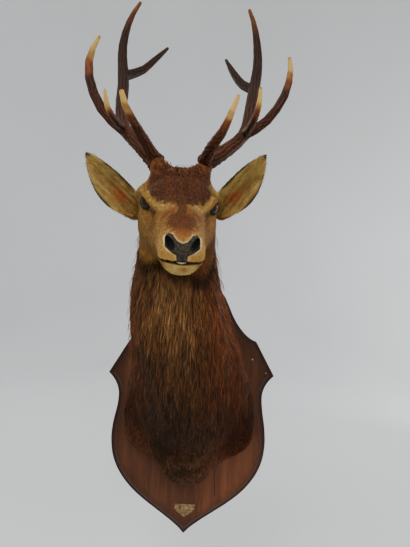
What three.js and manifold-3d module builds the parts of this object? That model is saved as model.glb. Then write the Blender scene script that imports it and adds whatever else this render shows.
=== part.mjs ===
// Red deer stag shoulder mount on a shield board, life size, in millimetres.
// +Z is up, the stag looks along -Y and the back of the board lies in the plane y = 0.
// The origin is on that back face, halfway across the board and halfway up it.
// "left" and "right" are the stag's own sides, so left is +X.

import * as THREE from 'three';
import { mergeVertices } from 'three/addons/utils/BufferGeometryUtils.js';
import Module from 'manifold-3d';

const wasm = await Module();
wasm.setup();

// ---------------------------------------------------------------- driving dimensions

const GAP = 0.3; // clear space between pieces that meet
const SIDES = { left: 1, right: -1 };

const BOARD = {
  thickness: 24,
  bottom: -361,
  height: 717,
  mould: 18, // width of the moulded edge, seen from the front
  mouldDrop: 13, // how far the moulding falls back from the front face
  rightDrop: 12, // the hand-cut horn on the stag's right sits this much lower
};

const PLATE = {
  width: 57,
  height: 36,
  thickness: 1.4,
  bevel: 0.4,
  top: -270,
  side: 15, // from the top down to where the sides turn in to the point
  notch: 2, // depth of the two nicks in each side
  pin: 1.6,
  pinIn: 5.5, // pin from the side edge
  pinDown: 8, // pin from the top edge
};

const HANGER = {
  width: 24,
  length: 62,
  thickness: 3,
  eye: 9,
  proud: 24, // how far the eye stands above the board
  screw: 4, // radius of a screw head
  screwRise: 0.2,
  screwsUp: [9, 27], // screws above the strap's lower end
  slot: 1, // width of a screw's slot
  slotDepth: 1.2,
};

// Throat-to-nape sections of the chest and neck. Each has its front and nape ends as
// [y, z], its half width, and how much it follows the lobed hem of the cape.
const NECK_SECTIONS = [
  { front: [-24.3, -202], nape: [-24.3, 292], half: 181, lobes: 1 },
  { front: [-58, -200], nape: [-34, 304], half: 182, lobes: 0.95 },
  { front: [-110, -164], nape: [-52, 330], half: 172, lobes: 0.78 },
  { front: [-168, -92], nape: [-76, 364], half: 151, lobes: 0.5 },
  { front: [-222, -8], nape: [-102, 398], half: 135, lobes: 0.24 },
  { front: [-260, 72], nape: [-130, 432], half: 122, lobes: 0.08 },
  { front: [-284, 152], nape: [-158, 466], half: 111, lobes: 0 },
  { front: [-296, 236], nape: [-184, 502], half: 98, lobes: 0 },
  { front: [-300, 316], nape: [-210, 544], half: 88, lobes: 0 },
  { front: [-302, 392], nape: [-238, 586], half: 87, lobes: 0 },
  { front: [-320, 436], nape: [-284, 598], half: 66, lobes: 0 },
];
const NECK_RINGS = 15;
const NECK_POINTS = 26; // around each ring

// Half of the cape's hem: [share of the half width, share of the way from front to nape].
const HEM = [
  [0, 0], [0.2, 0.006], [0.32, 0.05], [0.42, 0.115], [0.57, 0.142], [0.76, 0.168],
  [0.93, 0.212], [1, 0.31], [0.91, 0.47], [0.74, 0.63], [0.55, 0.8], [0.32, 0.94], [0, 1],
];

const LEAN = { shift: -43, from: 60, to: 360 }; // the neck leans to the stag's right as it rises

const HEAD = {
  eyeMid: new THREE.Vector3(-33, -376, 510), // point midway between the eyes
  pitch: THREE.MathUtils.degToRad(24.5), // nose down
  yaw: THREE.MathUtils.degToRad(6.3), // nose turned to the stag's left
  roll: THREE.MathUtils.degToRad(0.8),
};

// Head sections, by distance ahead of the eyes: top and bottom of the profile, half width,
// height of the widest line, and how square the upper and lower halves are (2 is round).
const HEAD_SECTIONS = [
  { ahead: -140, top: 30, bottom: -100, half: 66, waist: -36, upper: 2, lower: 2 },
  { ahead: -110, top: 50, bottom: -124, half: 77, waist: -46, upper: 2.2, lower: 2.2 },
  { ahead: -78, top: 55, bottom: -135, half: 82, waist: -54, upper: 2.4, lower: 2.4 },
  { ahead: -40, top: 50, bottom: -136, half: 82, waist: -54, upper: 2.5, lower: 2.3 },
  { ahead: 0, top: 42, bottom: -127, half: 75, waist: -40, upper: 2.6, lower: 2.1 },
  { ahead: 35, top: 34, bottom: -112, half: 64, waist: -42, upper: 2.4, lower: 2 },
  { ahead: 70, top: 27, bottom: -96, half: 52, waist: -42, upper: 2.3, lower: 2 },
  { ahead: 105, top: 21, bottom: -82, half: 44, waist: -38, upper: 2.3, lower: 2.1 },
  { ahead: 140, top: 15, bottom: -72, half: 40, waist: -33, upper: 2.4, lower: 2.2 },
  { ahead: 170, top: 10, bottom: -67, half: 40, waist: -27, upper: 2.6, lower: 2.3 },
  { ahead: 192, top: 4, bottom: -65, half: 39.5, waist: -26, upper: 2.7, lower: 2.3 },
  { ahead: 206, top: -2, bottom: -58, half: 36, waist: -26, upper: 2.6, lower: 2.2 },
  { ahead: 215, top: -9, bottom: -46, half: 25, waist: -25, upper: 2.3, lower: 2 },
];
const NOSE_TIP_AHEAD = 219;
const HEAD_RINGS = 18;
const HEAD_POINTS = 26;

// Rises and hollows of the face, the same on both sides: [out from the middle, ahead, up].
const FACE_BUMPS = [
  { at: [64, -2, 27], reach: 17, rise: 5 }, // brow over the eye
  { at: [76, 8, -2], reach: 15, rise: -7 }, // eye hollow
  { at: [66, 18, -26], reach: 16, rise: 4 }, // cheekbone under the eye
  { at: [50, 62, -12], reach: 20, rise: -4 }, // hollow ahead of the eye
  { at: [80, -52, -66], reach: 26, rise: 3 }, // jaw muscle
  { at: [27, 198, -4], reach: 12, rise: 3 }, // wing of the nostril
  { at: [38, 178, -52], reach: 20, rise: -8 }, // chin, narrower than the upper lip
  { at: [0, 20, 34], reach: 30, rise: -3 }, // shallow dip between the brows
  { at: [0, -112, 52], reach: 34, rise: 7 }, // tuft between the pedicles
];

const EYE = { radius: 17.5, out: 58.5, ahead: -4, up: 0 };
const PEDICLE = { root: [36, -66, 30], top: [49, -110, 60], rootRadius: 27, topRadius: 21 };
const EAR_ROOT = { root: [58, -64, -8], top: [82, -72, 12], rootRadius: 33, topRadius: 24 };

const NOSE = { back: 184, ahead: 240 };
const NOSTRIL = { at: [20.5, 206, -6], size: [9, 15, 6.2], turn: 0.7 };
// Half of the nose leather, seen from the front: [out from the middle, up].
const NOSE_OUTLINE = [
  [0, -3.5], [8, -1.5], [16, 4], [23, 4.5], [28, -1], [28, -10], [19, -15], [9.5, -19], [8, -27], [0, -28],
];

// The mouth line as [ahead, up]: past the lips, at the corner, and past the angle of the jaw.
const MOUTH = { front: [240, -26], corner: [148, -38], jawEnd: [-64, -136], open: 3.4, width: 240 };
const TEETH = { half: 12, ahead: 214, depth: 12, up: -31.4, height: 3, tilt: 0.13 };

// Each ear: root and tip, the way its cup faces, and how its middle line sags outward.
const EARS = {
  left: { root: [33, -318, 508], tip: [144, -276, 646], facing: [0.3, -0.93, 0.1], bow: 12 },
  right: { root: [-115, -314, 502], tip: [-254, -272, 631], facing: [-0.22, -0.95, 0.1], bow: 12 },
};
const EAR = {
  half: 33, rootHalf: 23, thickness: 4.4, rings: 10, across: 7,
  rootCurl: 2.3, // half the turn of the cup at the root, in radians
  tipCurl: 0.55,
};

// The neck is parted from the chest and from the head along planes through these points.
const CHEST_TOP = { front: [-240, 30], nape: [-112, 412] };
const NECK_TOP = { front: [-304, 384], nape: [-236, 584] };

// Antler centre lines as [x, y, z], with radii at even shares from root to tip.
// The beam runs from the coronet to its front top point.
const ANTLERS = {
  left: {
    beam: {
      points: [
        [10, -299, 613], [35, -290, 633], [72, -265, 667], [97, -240, 702], [108, -212, 750],
        [117, -169, 809], [126, -129, 866], [132, -109, 925], [128, -109, 977], [116, -119, 1027],
        [101, -129, 1057],
      ],
      radii: [18, 13.2, 13.6, 13.4, 10.3, 3.4],
    },
    trezFork: 0.34,
    topFork: 0.63,
    tines: {
      brow_tine: {
        points: [[11, -302, 618], [22, -352, 632], [45, -400, 654], [68, -436, 706]],
        radii: [12.5, 9.9, 7.2, 2.6],
      },
      bez_tine: {
        points: [[96, -246, 698], [107, -304, 702], [116, -342, 726], [116, -358, 758]],
        radii: [8.5, 7.4, 5.6, 2.2],
      },
      trez_tine: {
        points: [
          [94, -246, 696], [136, -268, 717], [172, -286, 764], [187, -284, 820], [185, -274, 864],
        ],
        radii: [11, 8.9, 7.5, 2.6],
      },
      crown_back: {
        points: [[122, -140, 848], [96, -106, 874], [72, -74, 918], [50, -46, 968]],
        radii: [12, 10.4, 8.2, 3],
      },
    },
  },
  right: {
    beam: {
      points: [
        [-94, -299, 611], [-131, -288, 649], [-157, -267, 673], [-182, -238, 706], [-200, -184, 774],
        [-209, -134, 847], [-219, -109, 912], [-222, -106, 952], [-212, -112, 1002], [-197, -120, 1034],
        [-176, -130, 1061],
      ],
      radii: [18, 13.6, 14, 13.8, 10.2, 3],
    },
    trezFork: 0.32,
    topFork: 0.64,
    tines: {
      brow_tine: {
        points: [
          [-94, -302, 616], [-118, -348, 647], [-133, -392, 668], [-142, -424, 685], [-146, -438, 703],
        ],
        radii: [12.8, 10.6, 8.6, 6.6, 3.6],
      },
      bez_tine: {
        points: [[-176, -248, 694], [-186, -304, 696], [-194, -342, 708], [-196, -364, 736]],
        radii: [8.5, 7, 5.4, 2],
      },
      trez_tine: {
        points: [
          [-172, -252, 688], [-218, -272, 722], [-248, -286, 780], [-253, -284, 838], [-238, -268, 893],
        ],
        radii: [12, 9.8, 8.2, 2.4],
      },
      crown_back: {
        points: [
          [-213, -121, 874], [-194, -96, 893], [-171, -74, 915], [-147, -56, 949], [-111, -40, 995],
        ],
        radii: [12.4, 10.6, 8.8, 6.6, 3],
      },
    },
  },
};
const BURR = { radius: 21, thickness: 9, knobs: 6, knob: 1.3, sides: 18, rim: 0.28 };
const ANTLER_SIDES = 8;

// ---------------------------------------------------------------- materials

function finish(color, roughness, metalness = 0) {
  return new THREE.MeshStandardMaterial({ color, roughness, metalness });
}

const MATERIALS = {
  wood: finish(0x6a3a26, 0.42),
  brass: finish(0xa08a4e, 0.45, 0.85),
  iron: finish(0x3a3733, 0.6, 0.8),
  mane: finish(0x5b3a24, 0.9),
  coat: finish(0xa8783f, 0.88),
  chin: finish(0xb99a63, 0.88),
  earCoat: finish(0xb0935c, 0.86),
  leather: finish(0x35302e, 0.35),
  eye: finish(0x120c09, 0.06),
  tooth: finish(0xe6dcc2, 0.35),
  antler: finish(0x4e3226, 0.55),
};

const model = new THREE.Group();

function add(name, solid, material) {
  const mesh = new THREE.Mesh(toGeometry(solid), material);
  mesh.name = name;
  model.add(mesh);
}

// ---------------------------------------------------------------- solids and curves

// A closed manifold solid from any closed geometry; faces are turned out if they point in.
function toSolid(geometry) {
  const bare = geometry.clone();
  bare.deleteAttribute('normal');
  bare.deleteAttribute('uv');
  const merged = mergeVertices(bare, 1e-4);
  const triVerts = Uint32Array.from(merged.index.array);
  if (signedVolume(merged) < 0) {
    for (let i = 0; i < triVerts.length; i += 3) {
      [triVerts[i + 1], triVerts[i + 2]] = [triVerts[i + 2], triVerts[i + 1]];
    }
  }
  const vertProperties = Float32Array.from(merged.attributes.position.array);
  return new wasm.Manifold(new wasm.Mesh({ numProp: 3, vertProperties, triVerts }));
}

function signedVolume(geometry) {
  const position = geometry.attributes.position;
  const index = geometry.index;
  const [a, b, c] = [new THREE.Vector3(), new THREE.Vector3(), new THREE.Vector3()];
  let volume = 0;
  for (let i = 0; i < index.count; i += 3) {
    a.fromBufferAttribute(position, index.getX(i));
    b.fromBufferAttribute(position, index.getX(i + 1));
    c.fromBufferAttribute(position, index.getX(i + 2));
    volume += a.dot(b.cross(c)) / 6;
  }
  return volume;
}

function toGeometry(solid) {
  const mesh = solid.getMesh();
  const geometry = new THREE.BufferGeometry();
  geometry.setAttribute('position', new THREE.BufferAttribute(Float32Array.from(mesh.vertProperties), 3));
  geometry.setIndex(new THREE.BufferAttribute(Uint32Array.from(mesh.triVerts), 1));
  geometry.computeVertexNormals();
  return geometry;
}

// Skins a row of rings with the same number of points and closes both ends with fans.
function loft(rings) {
  const count = rings[0].length;
  const points = rings.flat();
  const index = [];
  for (let r = 0; r + 1 < rings.length; r++) {
    for (let i = 0; i < count; i++) {
      const a = r * count + i;
      const b = r * count + ((i + 1) % count);
      index.push(a, b, a + count, b, b + count, a + count);
    }
  }
  for (const [ring, flip] of [[0, true], [rings.length - 1, false]]) {
    const middle = new THREE.Vector3();
    rings[ring].forEach((p) => middle.addScaledVector(p, 1 / count));
    points.push(middle);
    for (let i = 0; i < count; i++) {
      const a = ring * count + i;
      const b = ring * count + ((i + 1) % count);
      index.push(...(flip ? [b, a] : [a, b]), points.length - 1);
    }
  }
  const geometry = new THREE.BufferGeometry().setFromPoints(points);
  geometry.setIndex(index);
  return toSolid(geometry);
}

// Smooth value of a table's column at a place along its key, through every entry.
function smoothValue(table, key, column, at) {
  let i = 0;
  while (i < table.length - 2 && at > table[i + 1][key]) i++;
  const [p1, p2] = [table[i], table[i + 1]];
  const [p0, p3] = [table[Math.max(i - 1, 0)], table[Math.min(i + 2, table.length - 1)]];
  const span = p2[key] - p1[key];
  const t = THREE.MathUtils.clamp((at - p1[key]) / span, 0, 1);
  const slope1 = ((p2[column] - p0[column]) / (p2[key] - p0[key])) * span;
  const slope2 = ((p3[column] - p1[column]) / (p3[key] - p1[key])) * span;
  const t2 = t * t;
  const t3 = t2 * t;
  return (2 * t3 - 3 * t2 + 1) * p1[column] + (t3 - 2 * t2 + t) * slope1
    + (3 * t2 - 2 * t3) * p2[column] + (t3 - t2) * slope2;
}

function curveThrough(points) {
  return new THREE.CatmullRomCurve3(points.map((p) => new THREE.Vector3(...p)));
}

// A round tube along part of a curve, its radius given by a function of the curve's length share.
// grow makes it thicker all round and longer at both ends, for cutting a clearance.
function tube(curve, radiusAt, { from = 0, to = 1, steps, sides = ANTLER_SIDES, grow = 0 }) {
  const rings = [];
  let across = new THREE.Vector3(0, 1, 0);
  for (let i = 0; i <= steps; i++) {
    const share = from + ((to - from) * i) / steps;
    const along = curve.getTangentAt(share);
    const overrun = i === 0 ? -grow : i === steps ? grow : 0;
    const centre = curve.getPointAt(share).addScaledVector(along, overrun);
    across = across.clone().addScaledVector(along, -across.dot(along)).normalize();
    const other = new THREE.Vector3().crossVectors(along, across);
    const ring = [];
    for (let k = 0; k < sides; k++) {
      const turn = (k / sides) * 2 * Math.PI;
      const radius = radiusAt(share, turn) + grow;
      const point = centre.clone().addScaledVector(across, radius * Math.cos(turn));
      ring.push(point.addScaledVector(other, radius * Math.sin(turn)));
    }
    rings.push(ring);
  }
  return loft(rings);
}

function box(min, max) {
  const low = new THREE.Vector3(...min);
  const high = new THREE.Vector3(...max);
  const size = high.clone().sub(low);
  const middle = low.add(high).multiplyScalar(0.5);
  return toSolid(new THREE.BoxGeometry(size.x, size.y, size.z).translate(middle.x, middle.y, middle.z));
}

// A cylinder along +Y from the given point.
function rod(radius, length, [x, y, z], sides = 14) {
  const geometry = new THREE.CylinderGeometry(radius, radius, length, sides);
  return toSolid(geometry.translate(x, y + length / 2, z));
}

// A mirrored closed outline from the right half of it, given bottom to top.
function mirroredShape(half) {
  const shape = new THREE.Shape();
  shape.moveTo(half[0][0], half[0][1]);
  half.slice(1).forEach(([x, y]) => shape.lineTo(x, y));
  half.slice(1, -1).reverse().forEach(([x, y]) => shape.lineTo(-x, y));
  return shape;
}

// ---------------------------------------------------------------- board

// One half of the shield's outline, bottom to top: ogee foot, full belly, waist, side horn and
// scooped top. The waist, horn and corner can sit lower by drop.
function boardHalfOutline(drop) {
  const path = new THREE.Path();
  path.moveTo(0, 0);
  path.bezierCurveTo(22, 27, 63, 51, 118, 91);
  path.bezierCurveTo(175, 133, 217, 186, 218, 259);
  path.bezierCurveTo(219, 319, 203, 350 - drop, 203, 397 - drop);
  path.bezierCurveTo(204, 424 - drop, 218, 444 - drop, 234, 458 - drop);
  path.lineTo(180, 552 - drop);
  path.bezierCurveTo(153, 559 - drop, 120, 595, 98, 648);
  path.bezierCurveTo(87, 672, 77, 689, 63, 699);
  path.bezierCurveTo(43, 701, 18, 707, 0, BOARD.height);
  return path.getPoints(5).map((p) => [p.x, p.y + BOARD.bottom]);
}

// ExtrudeGeometry builds along +Z; this stands it up so that it builds along -Y from y = 0.
function standUp(geometry) {
  return geometry.rotateX(Math.PI / 2);
}

function makeBoard() {
  const rightHalf = boardHalfOutline(BOARD.rightDrop).slice(1, -1).reverse();
  const outline = [...boardHalfOutline(0), ...rightHalf.map(([x, z]) => [-x, z])];
  const shape = new THREE.Shape(outline.map(([x, z]) => new THREE.Vector2(x, z)));
  const moulded = new THREE.ExtrudeGeometry(shape, {
    depth: BOARD.thickness - BOARD.mouldDrop,
    bevelThickness: BOARD.mouldDrop,
    bevelSize: BOARD.mould,
    bevelOffset: -BOARD.mould,
    bevelSegments: 2,
    curveSegments: 1,
  });
  const reach = 1000;
  const behind = box([-reach, 0, -reach], [reach, reach, reach]);
  return toSolid(standUp(moulded)).subtract(behind).subtract(hangerRebate());
}

function hangerRebate() {
  const half = HANGER.width / 2 + GAP;
  const top = BOARD.bottom + BOARD.height;
  const bottom = top + HANGER.proud - HANGER.length - GAP;
  return box([-half, -HANGER.thickness - 2 * GAP, bottom], [half, 1, top + HANGER.proud]);
}

function screwHeights() {
  const bottom = BOARD.bottom + BOARD.height + HANGER.proud - HANGER.length;
  return HANGER.screwsUp.map((up) => bottom + up);
}

// An iron strap let into the back of the board, its eye standing above the top edge.
function makeHanger() {
  const half = HANGER.width / 2;
  const top = BOARD.bottom + BOARD.height + HANGER.proud;
  const outline = new THREE.Shape();
  outline.moveTo(-half, top - HANGER.length);
  outline.lineTo(half, top - HANGER.length);
  outline.absarc(0, top - half, half, 0, Math.PI, false);
  const eye = new THREE.Path();
  eye.absarc(0, top - half, HANGER.eye / 2, 0, 2 * Math.PI, true);
  outline.holes.push(eye);
  const strap = new THREE.ExtrudeGeometry(outline, {
    depth: HANGER.thickness,
    bevelEnabled: false,
    curveSegments: 6,
  });
  let solid = toSolid(standUp(strap).translate(0, -GAP, 0));
  for (const z of screwHeights()) {
    solid = solid.subtract(rod(HANGER.screw + GAP, 2 * HANGER.thickness, [0, -1.5 * HANGER.thickness, z]));
  }
  return solid;
}

function makeScrew(z) {
  const length = HANGER.thickness - GAP;
  const head = rod(HANGER.screw, length, [0, -HANGER.thickness - HANGER.screwRise + GAP, z]);
  const half = HANGER.slot / 2;
  const low = [-HANGER.screw, -HANGER.slotDepth, z - half];
  const high = [HANGER.screw, HANGER.slotDepth, z + half];
  const slot = box(low, high);
  return head.subtract(slot);
}

// ---------------------------------------------------------------- label plate

function plateHalfOutline() {
  const half = PLATE.width / 2;
  const inner = half - PLATE.notch;
  const shoulder = PLATE.top - PLATE.side;
  return [
    [0, PLATE.top - PLATE.height], [inner, shoulder - 1.5], [half, shoulder], [half, shoulder + 4],
    [inner, shoulder + 6], [inner, PLATE.top - 5], [half, PLATE.top - 3], [half, PLATE.top],
    [0, PLATE.top],
  ];
}

function pinPlaces() {
  const x = PLATE.width / 2 - PLATE.pinIn;
  const z = PLATE.top - PLATE.pinDown;
  return { left: [x, z], right: [-x, z] };
}

function makePlate() {
  const { bevel } = PLATE;
  const geometry = new THREE.ExtrudeGeometry(mirroredShape(plateHalfOutline()), {
    depth: PLATE.thickness - 2 * bevel,
    bevelThickness: bevel,
    bevelSize: bevel,
    bevelOffset: -bevel,
    bevelSegments: 1,
  });
  const front = -BOARD.thickness - GAP - bevel;
  let solid = toSolid(standUp(geometry).translate(0, front, 0));
  for (const [x, z] of Object.values(pinPlaces())) {
    const end = [x, front - 2 * PLATE.thickness, z];
    solid = solid.subtract(rod(PLATE.pin + GAP, 4 * PLATE.thickness, end, 8));
  }
  return solid;
}

function makePin([x, z]) {
  const dome = new THREE.SphereGeometry(PLATE.pin, 8, 4);
  dome.scale(1, 0.6, 1).translate(x, -BOARD.thickness - PLATE.thickness - GAP, z);
  const shank = rod(PLATE.pin, PLATE.thickness, [x, -BOARD.thickness - PLATE.thickness - GAP, z], 8);
  return toSolid(dome).add(shank);
}

// ---------------------------------------------------------------- chest and neck

function leanAt(z) {
  return LEAN.shift * THREE.MathUtils.smoothstep(z, LEAN.from, LEAN.to);
}

function neckSectionAt(share) {
  const rows = NECK_SECTIONS.map((row, i) => ({
    share: i / (NECK_SECTIONS.length - 1),
    frontY: row.front[0], frontZ: row.front[1], napeY: row.nape[0], napeZ: row.nape[1],
    half: row.half, lobes: row.lobes,
  }));
  const value = (column) => smoothValue(rows, 'share', column, share);
  return {
    front: [value('frontY'), value('frontZ')],
    nape: [value('napeY'), value('napeZ')],
    half: value('half'),
    lobes: THREE.MathUtils.clamp(value('lobes'), 0, 1),
  };
}

function neckRing(section) {
  const hem = curveThrough(HEM.map(([out, up]) => [out, up, 0]));
  const ring = [];
  for (let i = 0; i < NECK_POINTS; i++) {
    const turn = (i / NECK_POINTS) * 2 * Math.PI;
    const side = turn <= Math.PI ? 1 : -1;
    const lobed = hem.getPoint((side > 0 ? turn : 2 * Math.PI - turn) / Math.PI);
    const out = THREE.MathUtils.lerp(Math.sin(turn), side * lobed.x, section.lobes);
    const up = THREE.MathUtils.lerp((1 - Math.cos(turn)) / 2, lobed.y, section.lobes);
    const y = THREE.MathUtils.lerp(section.front[0], section.nape[0], up);
    const z = THREE.MathUtils.lerp(section.front[1], section.nape[1], up);
    ring.push(new THREE.Vector3(section.half * out + leanAt(z), y, z));
  }
  return ring;
}

function makeNeckAndChest() {
  const rings = [];
  for (let r = 0; r < NECK_RINGS; r++) rings.push(neckRing(neckSectionAt(r / (NECK_RINGS - 1))));
  return loft(rings);
}

// ---------------------------------------------------------------- head

// Head pieces are made about the point between the eyes, looking along -Y, then posed.
const HEAD_POSE = new THREE.Matrix4().compose(
  HEAD.eyeMid,
  new THREE.Quaternion().setFromEuler(new THREE.Euler(HEAD.pitch, HEAD.roll, HEAD.yaw, 'ZXY')),
  new THREE.Vector3(1, 1, 1),
);

// [out, ahead, up] of the head to a point of the model.
function headPoint([out, ahead, up]) {
  return new THREE.Vector3(out, -ahead, up).applyMatrix4(HEAD_POSE);
}

function posed(geometry) {
  return toSolid(geometry.applyMatrix4(HEAD_POSE));
}

function mirrored([out, ahead, up], side) {
  return [side * out, ahead, up];
}

function squircle(angle, power) {
  return Math.sign(angle) * Math.abs(angle) ** (2 / power);
}

function bumpsAt(out, ahead, up) {
  let rise = 0;
  for (const bump of FACE_BUMPS) {
    const away = Math.hypot(Math.abs(out) - bump.at[0], ahead - bump.at[1], up - bump.at[2]);
    rise += bump.rise * Math.exp(-((away / bump.reach) ** 2));
  }
  return rise;
}

function headRing(ahead) {
  const at = (column) => smoothValue(HEAD_SECTIONS, 'ahead', column, ahead);
  const [half, waist] = [at('half'), at('waist')];
  const ring = [];
  for (let i = 0; i < HEAD_POINTS; i++) {
    const turn = (i / HEAD_POINTS) * 2 * Math.PI;
    const [cos, sin] = [Math.cos(turn), Math.sin(turn)];
    const power = at(sin >= 0 ? 'upper' : 'lower');
    const reach = sin >= 0 ? at('top') - waist : waist - at('bottom');
    const out = half * squircle(cos, power);
    const up = reach * squircle(sin, power);
    const grow = 1 + bumpsAt(out, ahead, up + waist) / Math.hypot(out, up);
    ring.push(headPoint([out * grow, ahead, up * grow + waist]));
  }
  return ring;
}

function makeSkull() {
  const first = HEAD_SECTIONS[0].ahead;
  const last = HEAD_SECTIONS.at(-1).ahead;
  const rings = [];
  for (let i = 0; i <= HEAD_RINGS; i++) {
    const share = i / HEAD_RINGS;
    const eased = 1 - (1 - share) ** 1.35; // rings crowd towards the nose
    rings.push(headRing(first + (last - first) * eased));
  }
  const tip = headPoint([0, NOSE_TIP_AHEAD, HEAD_SECTIONS.at(-1).waist]);
  const end = rings.at(-1).map((p) => p.clone().lerp(tip, 0.5).add(headForward().multiplyScalar(1.5)));
  rings.push(end);
  return loft(rings);
}

function headForward() {
  return headPoint([0, 1, 0]).sub(headPoint([0, 0, 0]));
}

// A tapered stub of the head, such as the hair-covered pedicle or the root of an ear.
function makeStub({ root, top, rootRadius, topRadius }, side) {
  const line = new THREE.LineCurve3(headPoint(mirrored(root, side)), headPoint(mirrored(top, side)));
  return tube(line, (share) => THREE.MathUtils.lerp(rootRadius, topRadius, share), { steps: 2, sides: 12 });
}

function eyeBall(side, radius) {
  const ball = new THREE.SphereGeometry(radius, 12, 8);
  ball.rotateZ(Math.PI / 2).translate(side * EYE.out, -EYE.ahead, EYE.up);
  return posed(ball);
}

// A prism along the head's own axis, from an outline seen from the front.
function faceBlock(outline, grow = 0) {
  const half = outline.map(([out, up]) => new THREE.Vector3(out, up, 0));
  const points = new THREE.CatmullRomCurve3(half, false, 'centripetal').getPoints(9);
  const geometry = new THREE.ExtrudeGeometry(mirroredShape(points.map((p) => [Math.max(p.x, 0), p.y])), {
    depth: NOSE.ahead - NOSE.back + grow,
    bevelEnabled: grow > 0,
    bevelThickness: grow,
    bevelSize: grow,
    bevelSegments: 1,
  });
  return posed(geometry.rotateX(Math.PI / 2).translate(0, -NOSE.back, 0));
}

function nostril(side) {
  const [out, ahead, up] = mirrored(NOSTRIL.at, side);
  const hollow = new THREE.SphereGeometry(1, 8, 6);
  hollow.scale(...NOSTRIL.size).rotateY(side * -NOSTRIL.turn);
  return posed(hollow.translate(out, -ahead, up));
}

// The thin space between the lips, which runs on down to the angle of the jaw.
function mouthCut() {
  const [frontAhead, frontUp] = MOUTH.front;
  const [cornerAhead, cornerUp] = MOUTH.corner;
  const [endAhead, endUp] = MOUTH.jawEnd;
  const band = new THREE.Shape();
  band.moveTo(-frontAhead, frontUp);
  band.lineTo(-cornerAhead, cornerUp);
  band.lineTo(-endAhead, endUp);
  band.lineTo(-endAhead - GAP, endUp - GAP);
  band.lineTo(-cornerAhead, cornerUp - 2 * GAP);
  band.lineTo(-frontAhead, frontUp - MOUTH.open);
  const slab = new THREE.ExtrudeGeometry(band, { depth: MOUTH.width, bevelEnabled: false });
  slab.translate(0, 0, -MOUTH.width / 2).applyMatrix4(axesToHead());
  return posed(slab);
}

// Drawn as (-ahead, up, out); turned so that out is X, -ahead is Y and up is Z.
function axesToHead() {
  return new THREE.Matrix4().makeBasis(
    new THREE.Vector3(0, 1, 0), new THREE.Vector3(0, 0, 1), new THREE.Vector3(1, 0, 0),
  );
}

// A half-round row of lower front teeth, scalloped along its edge.
function makeTeeth(grow) {
  const half = [];
  const steps = 12;
  for (let i = 0; i <= steps; i++) {
    const turn = (i / steps) * (Math.PI / 2);
    const scallop = 1 - 0.03 * Math.abs(Math.sin(turn * 8));
    const out = TEETH.half * Math.sin(turn) + grow;
    const ahead = TEETH.depth * Math.cos(turn) + grow;
    half.push([out * scallop, -ahead * scallop]);
  }
  half.push([TEETH.half + grow, grow + 0.1], [0, grow + 0.1]);
  const depth = TEETH.height + 2 * grow;
  const arc = new THREE.ExtrudeGeometry(mirroredShape(half), { depth, bevelEnabled: false });
  arc.translate(0, TEETH.depth, -TEETH.height - grow).rotateX(-TEETH.tilt);
  return posed(arc.translate(0, -TEETH.ahead, TEETH.up));
}

// ---------------------------------------------------------------- ears

// A cupped leaf: each ring runs across the outer side and back across the inner one.
function makeEar(side, grow = 0) {
  const { root, tip, facing, bow } = EARS[side];
  const start = new THREE.Vector3(...root);
  const end = new THREE.Vector3(...tip);
  const along = end.clone().sub(start);
  const length = along.length();
  along.normalize();
  const front = new THREE.Vector3(...facing);
  front.addScaledVector(along, -front.dot(along)).normalize();
  const across = new THREE.Vector3().crossVectors(front, along).multiplyScalar(SIDES[side]);
  const rings = [];
  for (let r = 0; r <= EAR.rings; r++) {
    const share = (r / EAR.rings) ** 0.9;
    rings.push(earRing(share, grow).map(([x, y]) => {
      const sag = -bow * Math.sin(Math.PI * share ** 0.8);
      const point = start.clone().addScaledVector(along, share * (length + grow) - (r ? 0 : grow));
      return point.addScaledVector(across, x + sag).addScaledVector(front, y);
    }));
  }
  return loft(rings);
}

// Half width of the ear from root to tip: a narrow root, a full middle and a pointed end.
function earHalfWidth(share) {
  const leaf = EAR.half * Math.sin(Math.PI * Math.min(1, 0.12 + 0.88 * share ** 0.92)) ** 0.72;
  const root = EAR.rootHalf * (1 - share) ** 2;
  return Math.max(leaf, root, 2.5);
}

function earRing(share, grow) {
  const curl = THREE.MathUtils.lerp(EAR.rootCurl, EAR.tipCurl, Math.min(1, share ** 0.55));
  const radius = earHalfWidth(share) / Math.sin(Math.min(curl, Math.PI / 2));
  const thickness = EAR.thickness * (1 - 0.5 * share) / 2 + grow;
  const depth = radius * (1 - Math.cos(curl)) * 0.5;
  const outer = [];
  const inner = [];
  for (let i = 0; i < EAR.across; i++) {
    const turn = (curl + grow / radius) * ((2 * i) / (EAR.across - 1) - 1);
    const place = (r) => [r * Math.sin(turn), radius - depth - r * Math.cos(turn)];
    outer.push(place(radius + thickness));
    inner.push(place(Math.max(radius - thickness, 0.4)));
  }
  return [...outer, ...inner.reverse()];
}

// ---------------------------------------------------------------- antlers

// Radius along a length of antler, through the given radii at even shares.
function radiusThrough(radii) {
  const table = radii.map((radius, i) => ({ share: i / (radii.length - 1), radius }));
  return (share) => smoothValue(table, 'share', 'radius', share);
}

// The rough collar at the foot of the beam, with low knobs round it.
function makeBurr(beam, grow = 0) {
  const axis = beam.getTangentAt(0);
  const foot = beam.getPointAt(0);
  const half = BURR.thickness / 2;
  const line = new THREE.LineCurve3(
    foot.clone().addScaledVector(axis, -half), foot.clone().addScaledVector(axis, half),
  );
  const radiusAt = (share, turn) => {
    const swell = Math.sin(Math.PI * THREE.MathUtils.lerp(BURR.rim, 1 - BURR.rim, share));
    return BURR.radius * swell + BURR.knob * Math.cos(BURR.knobs * turn);
  };
  return tube(line, radiusAt, { steps: 3, sides: BURR.sides, grow });
}

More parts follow.
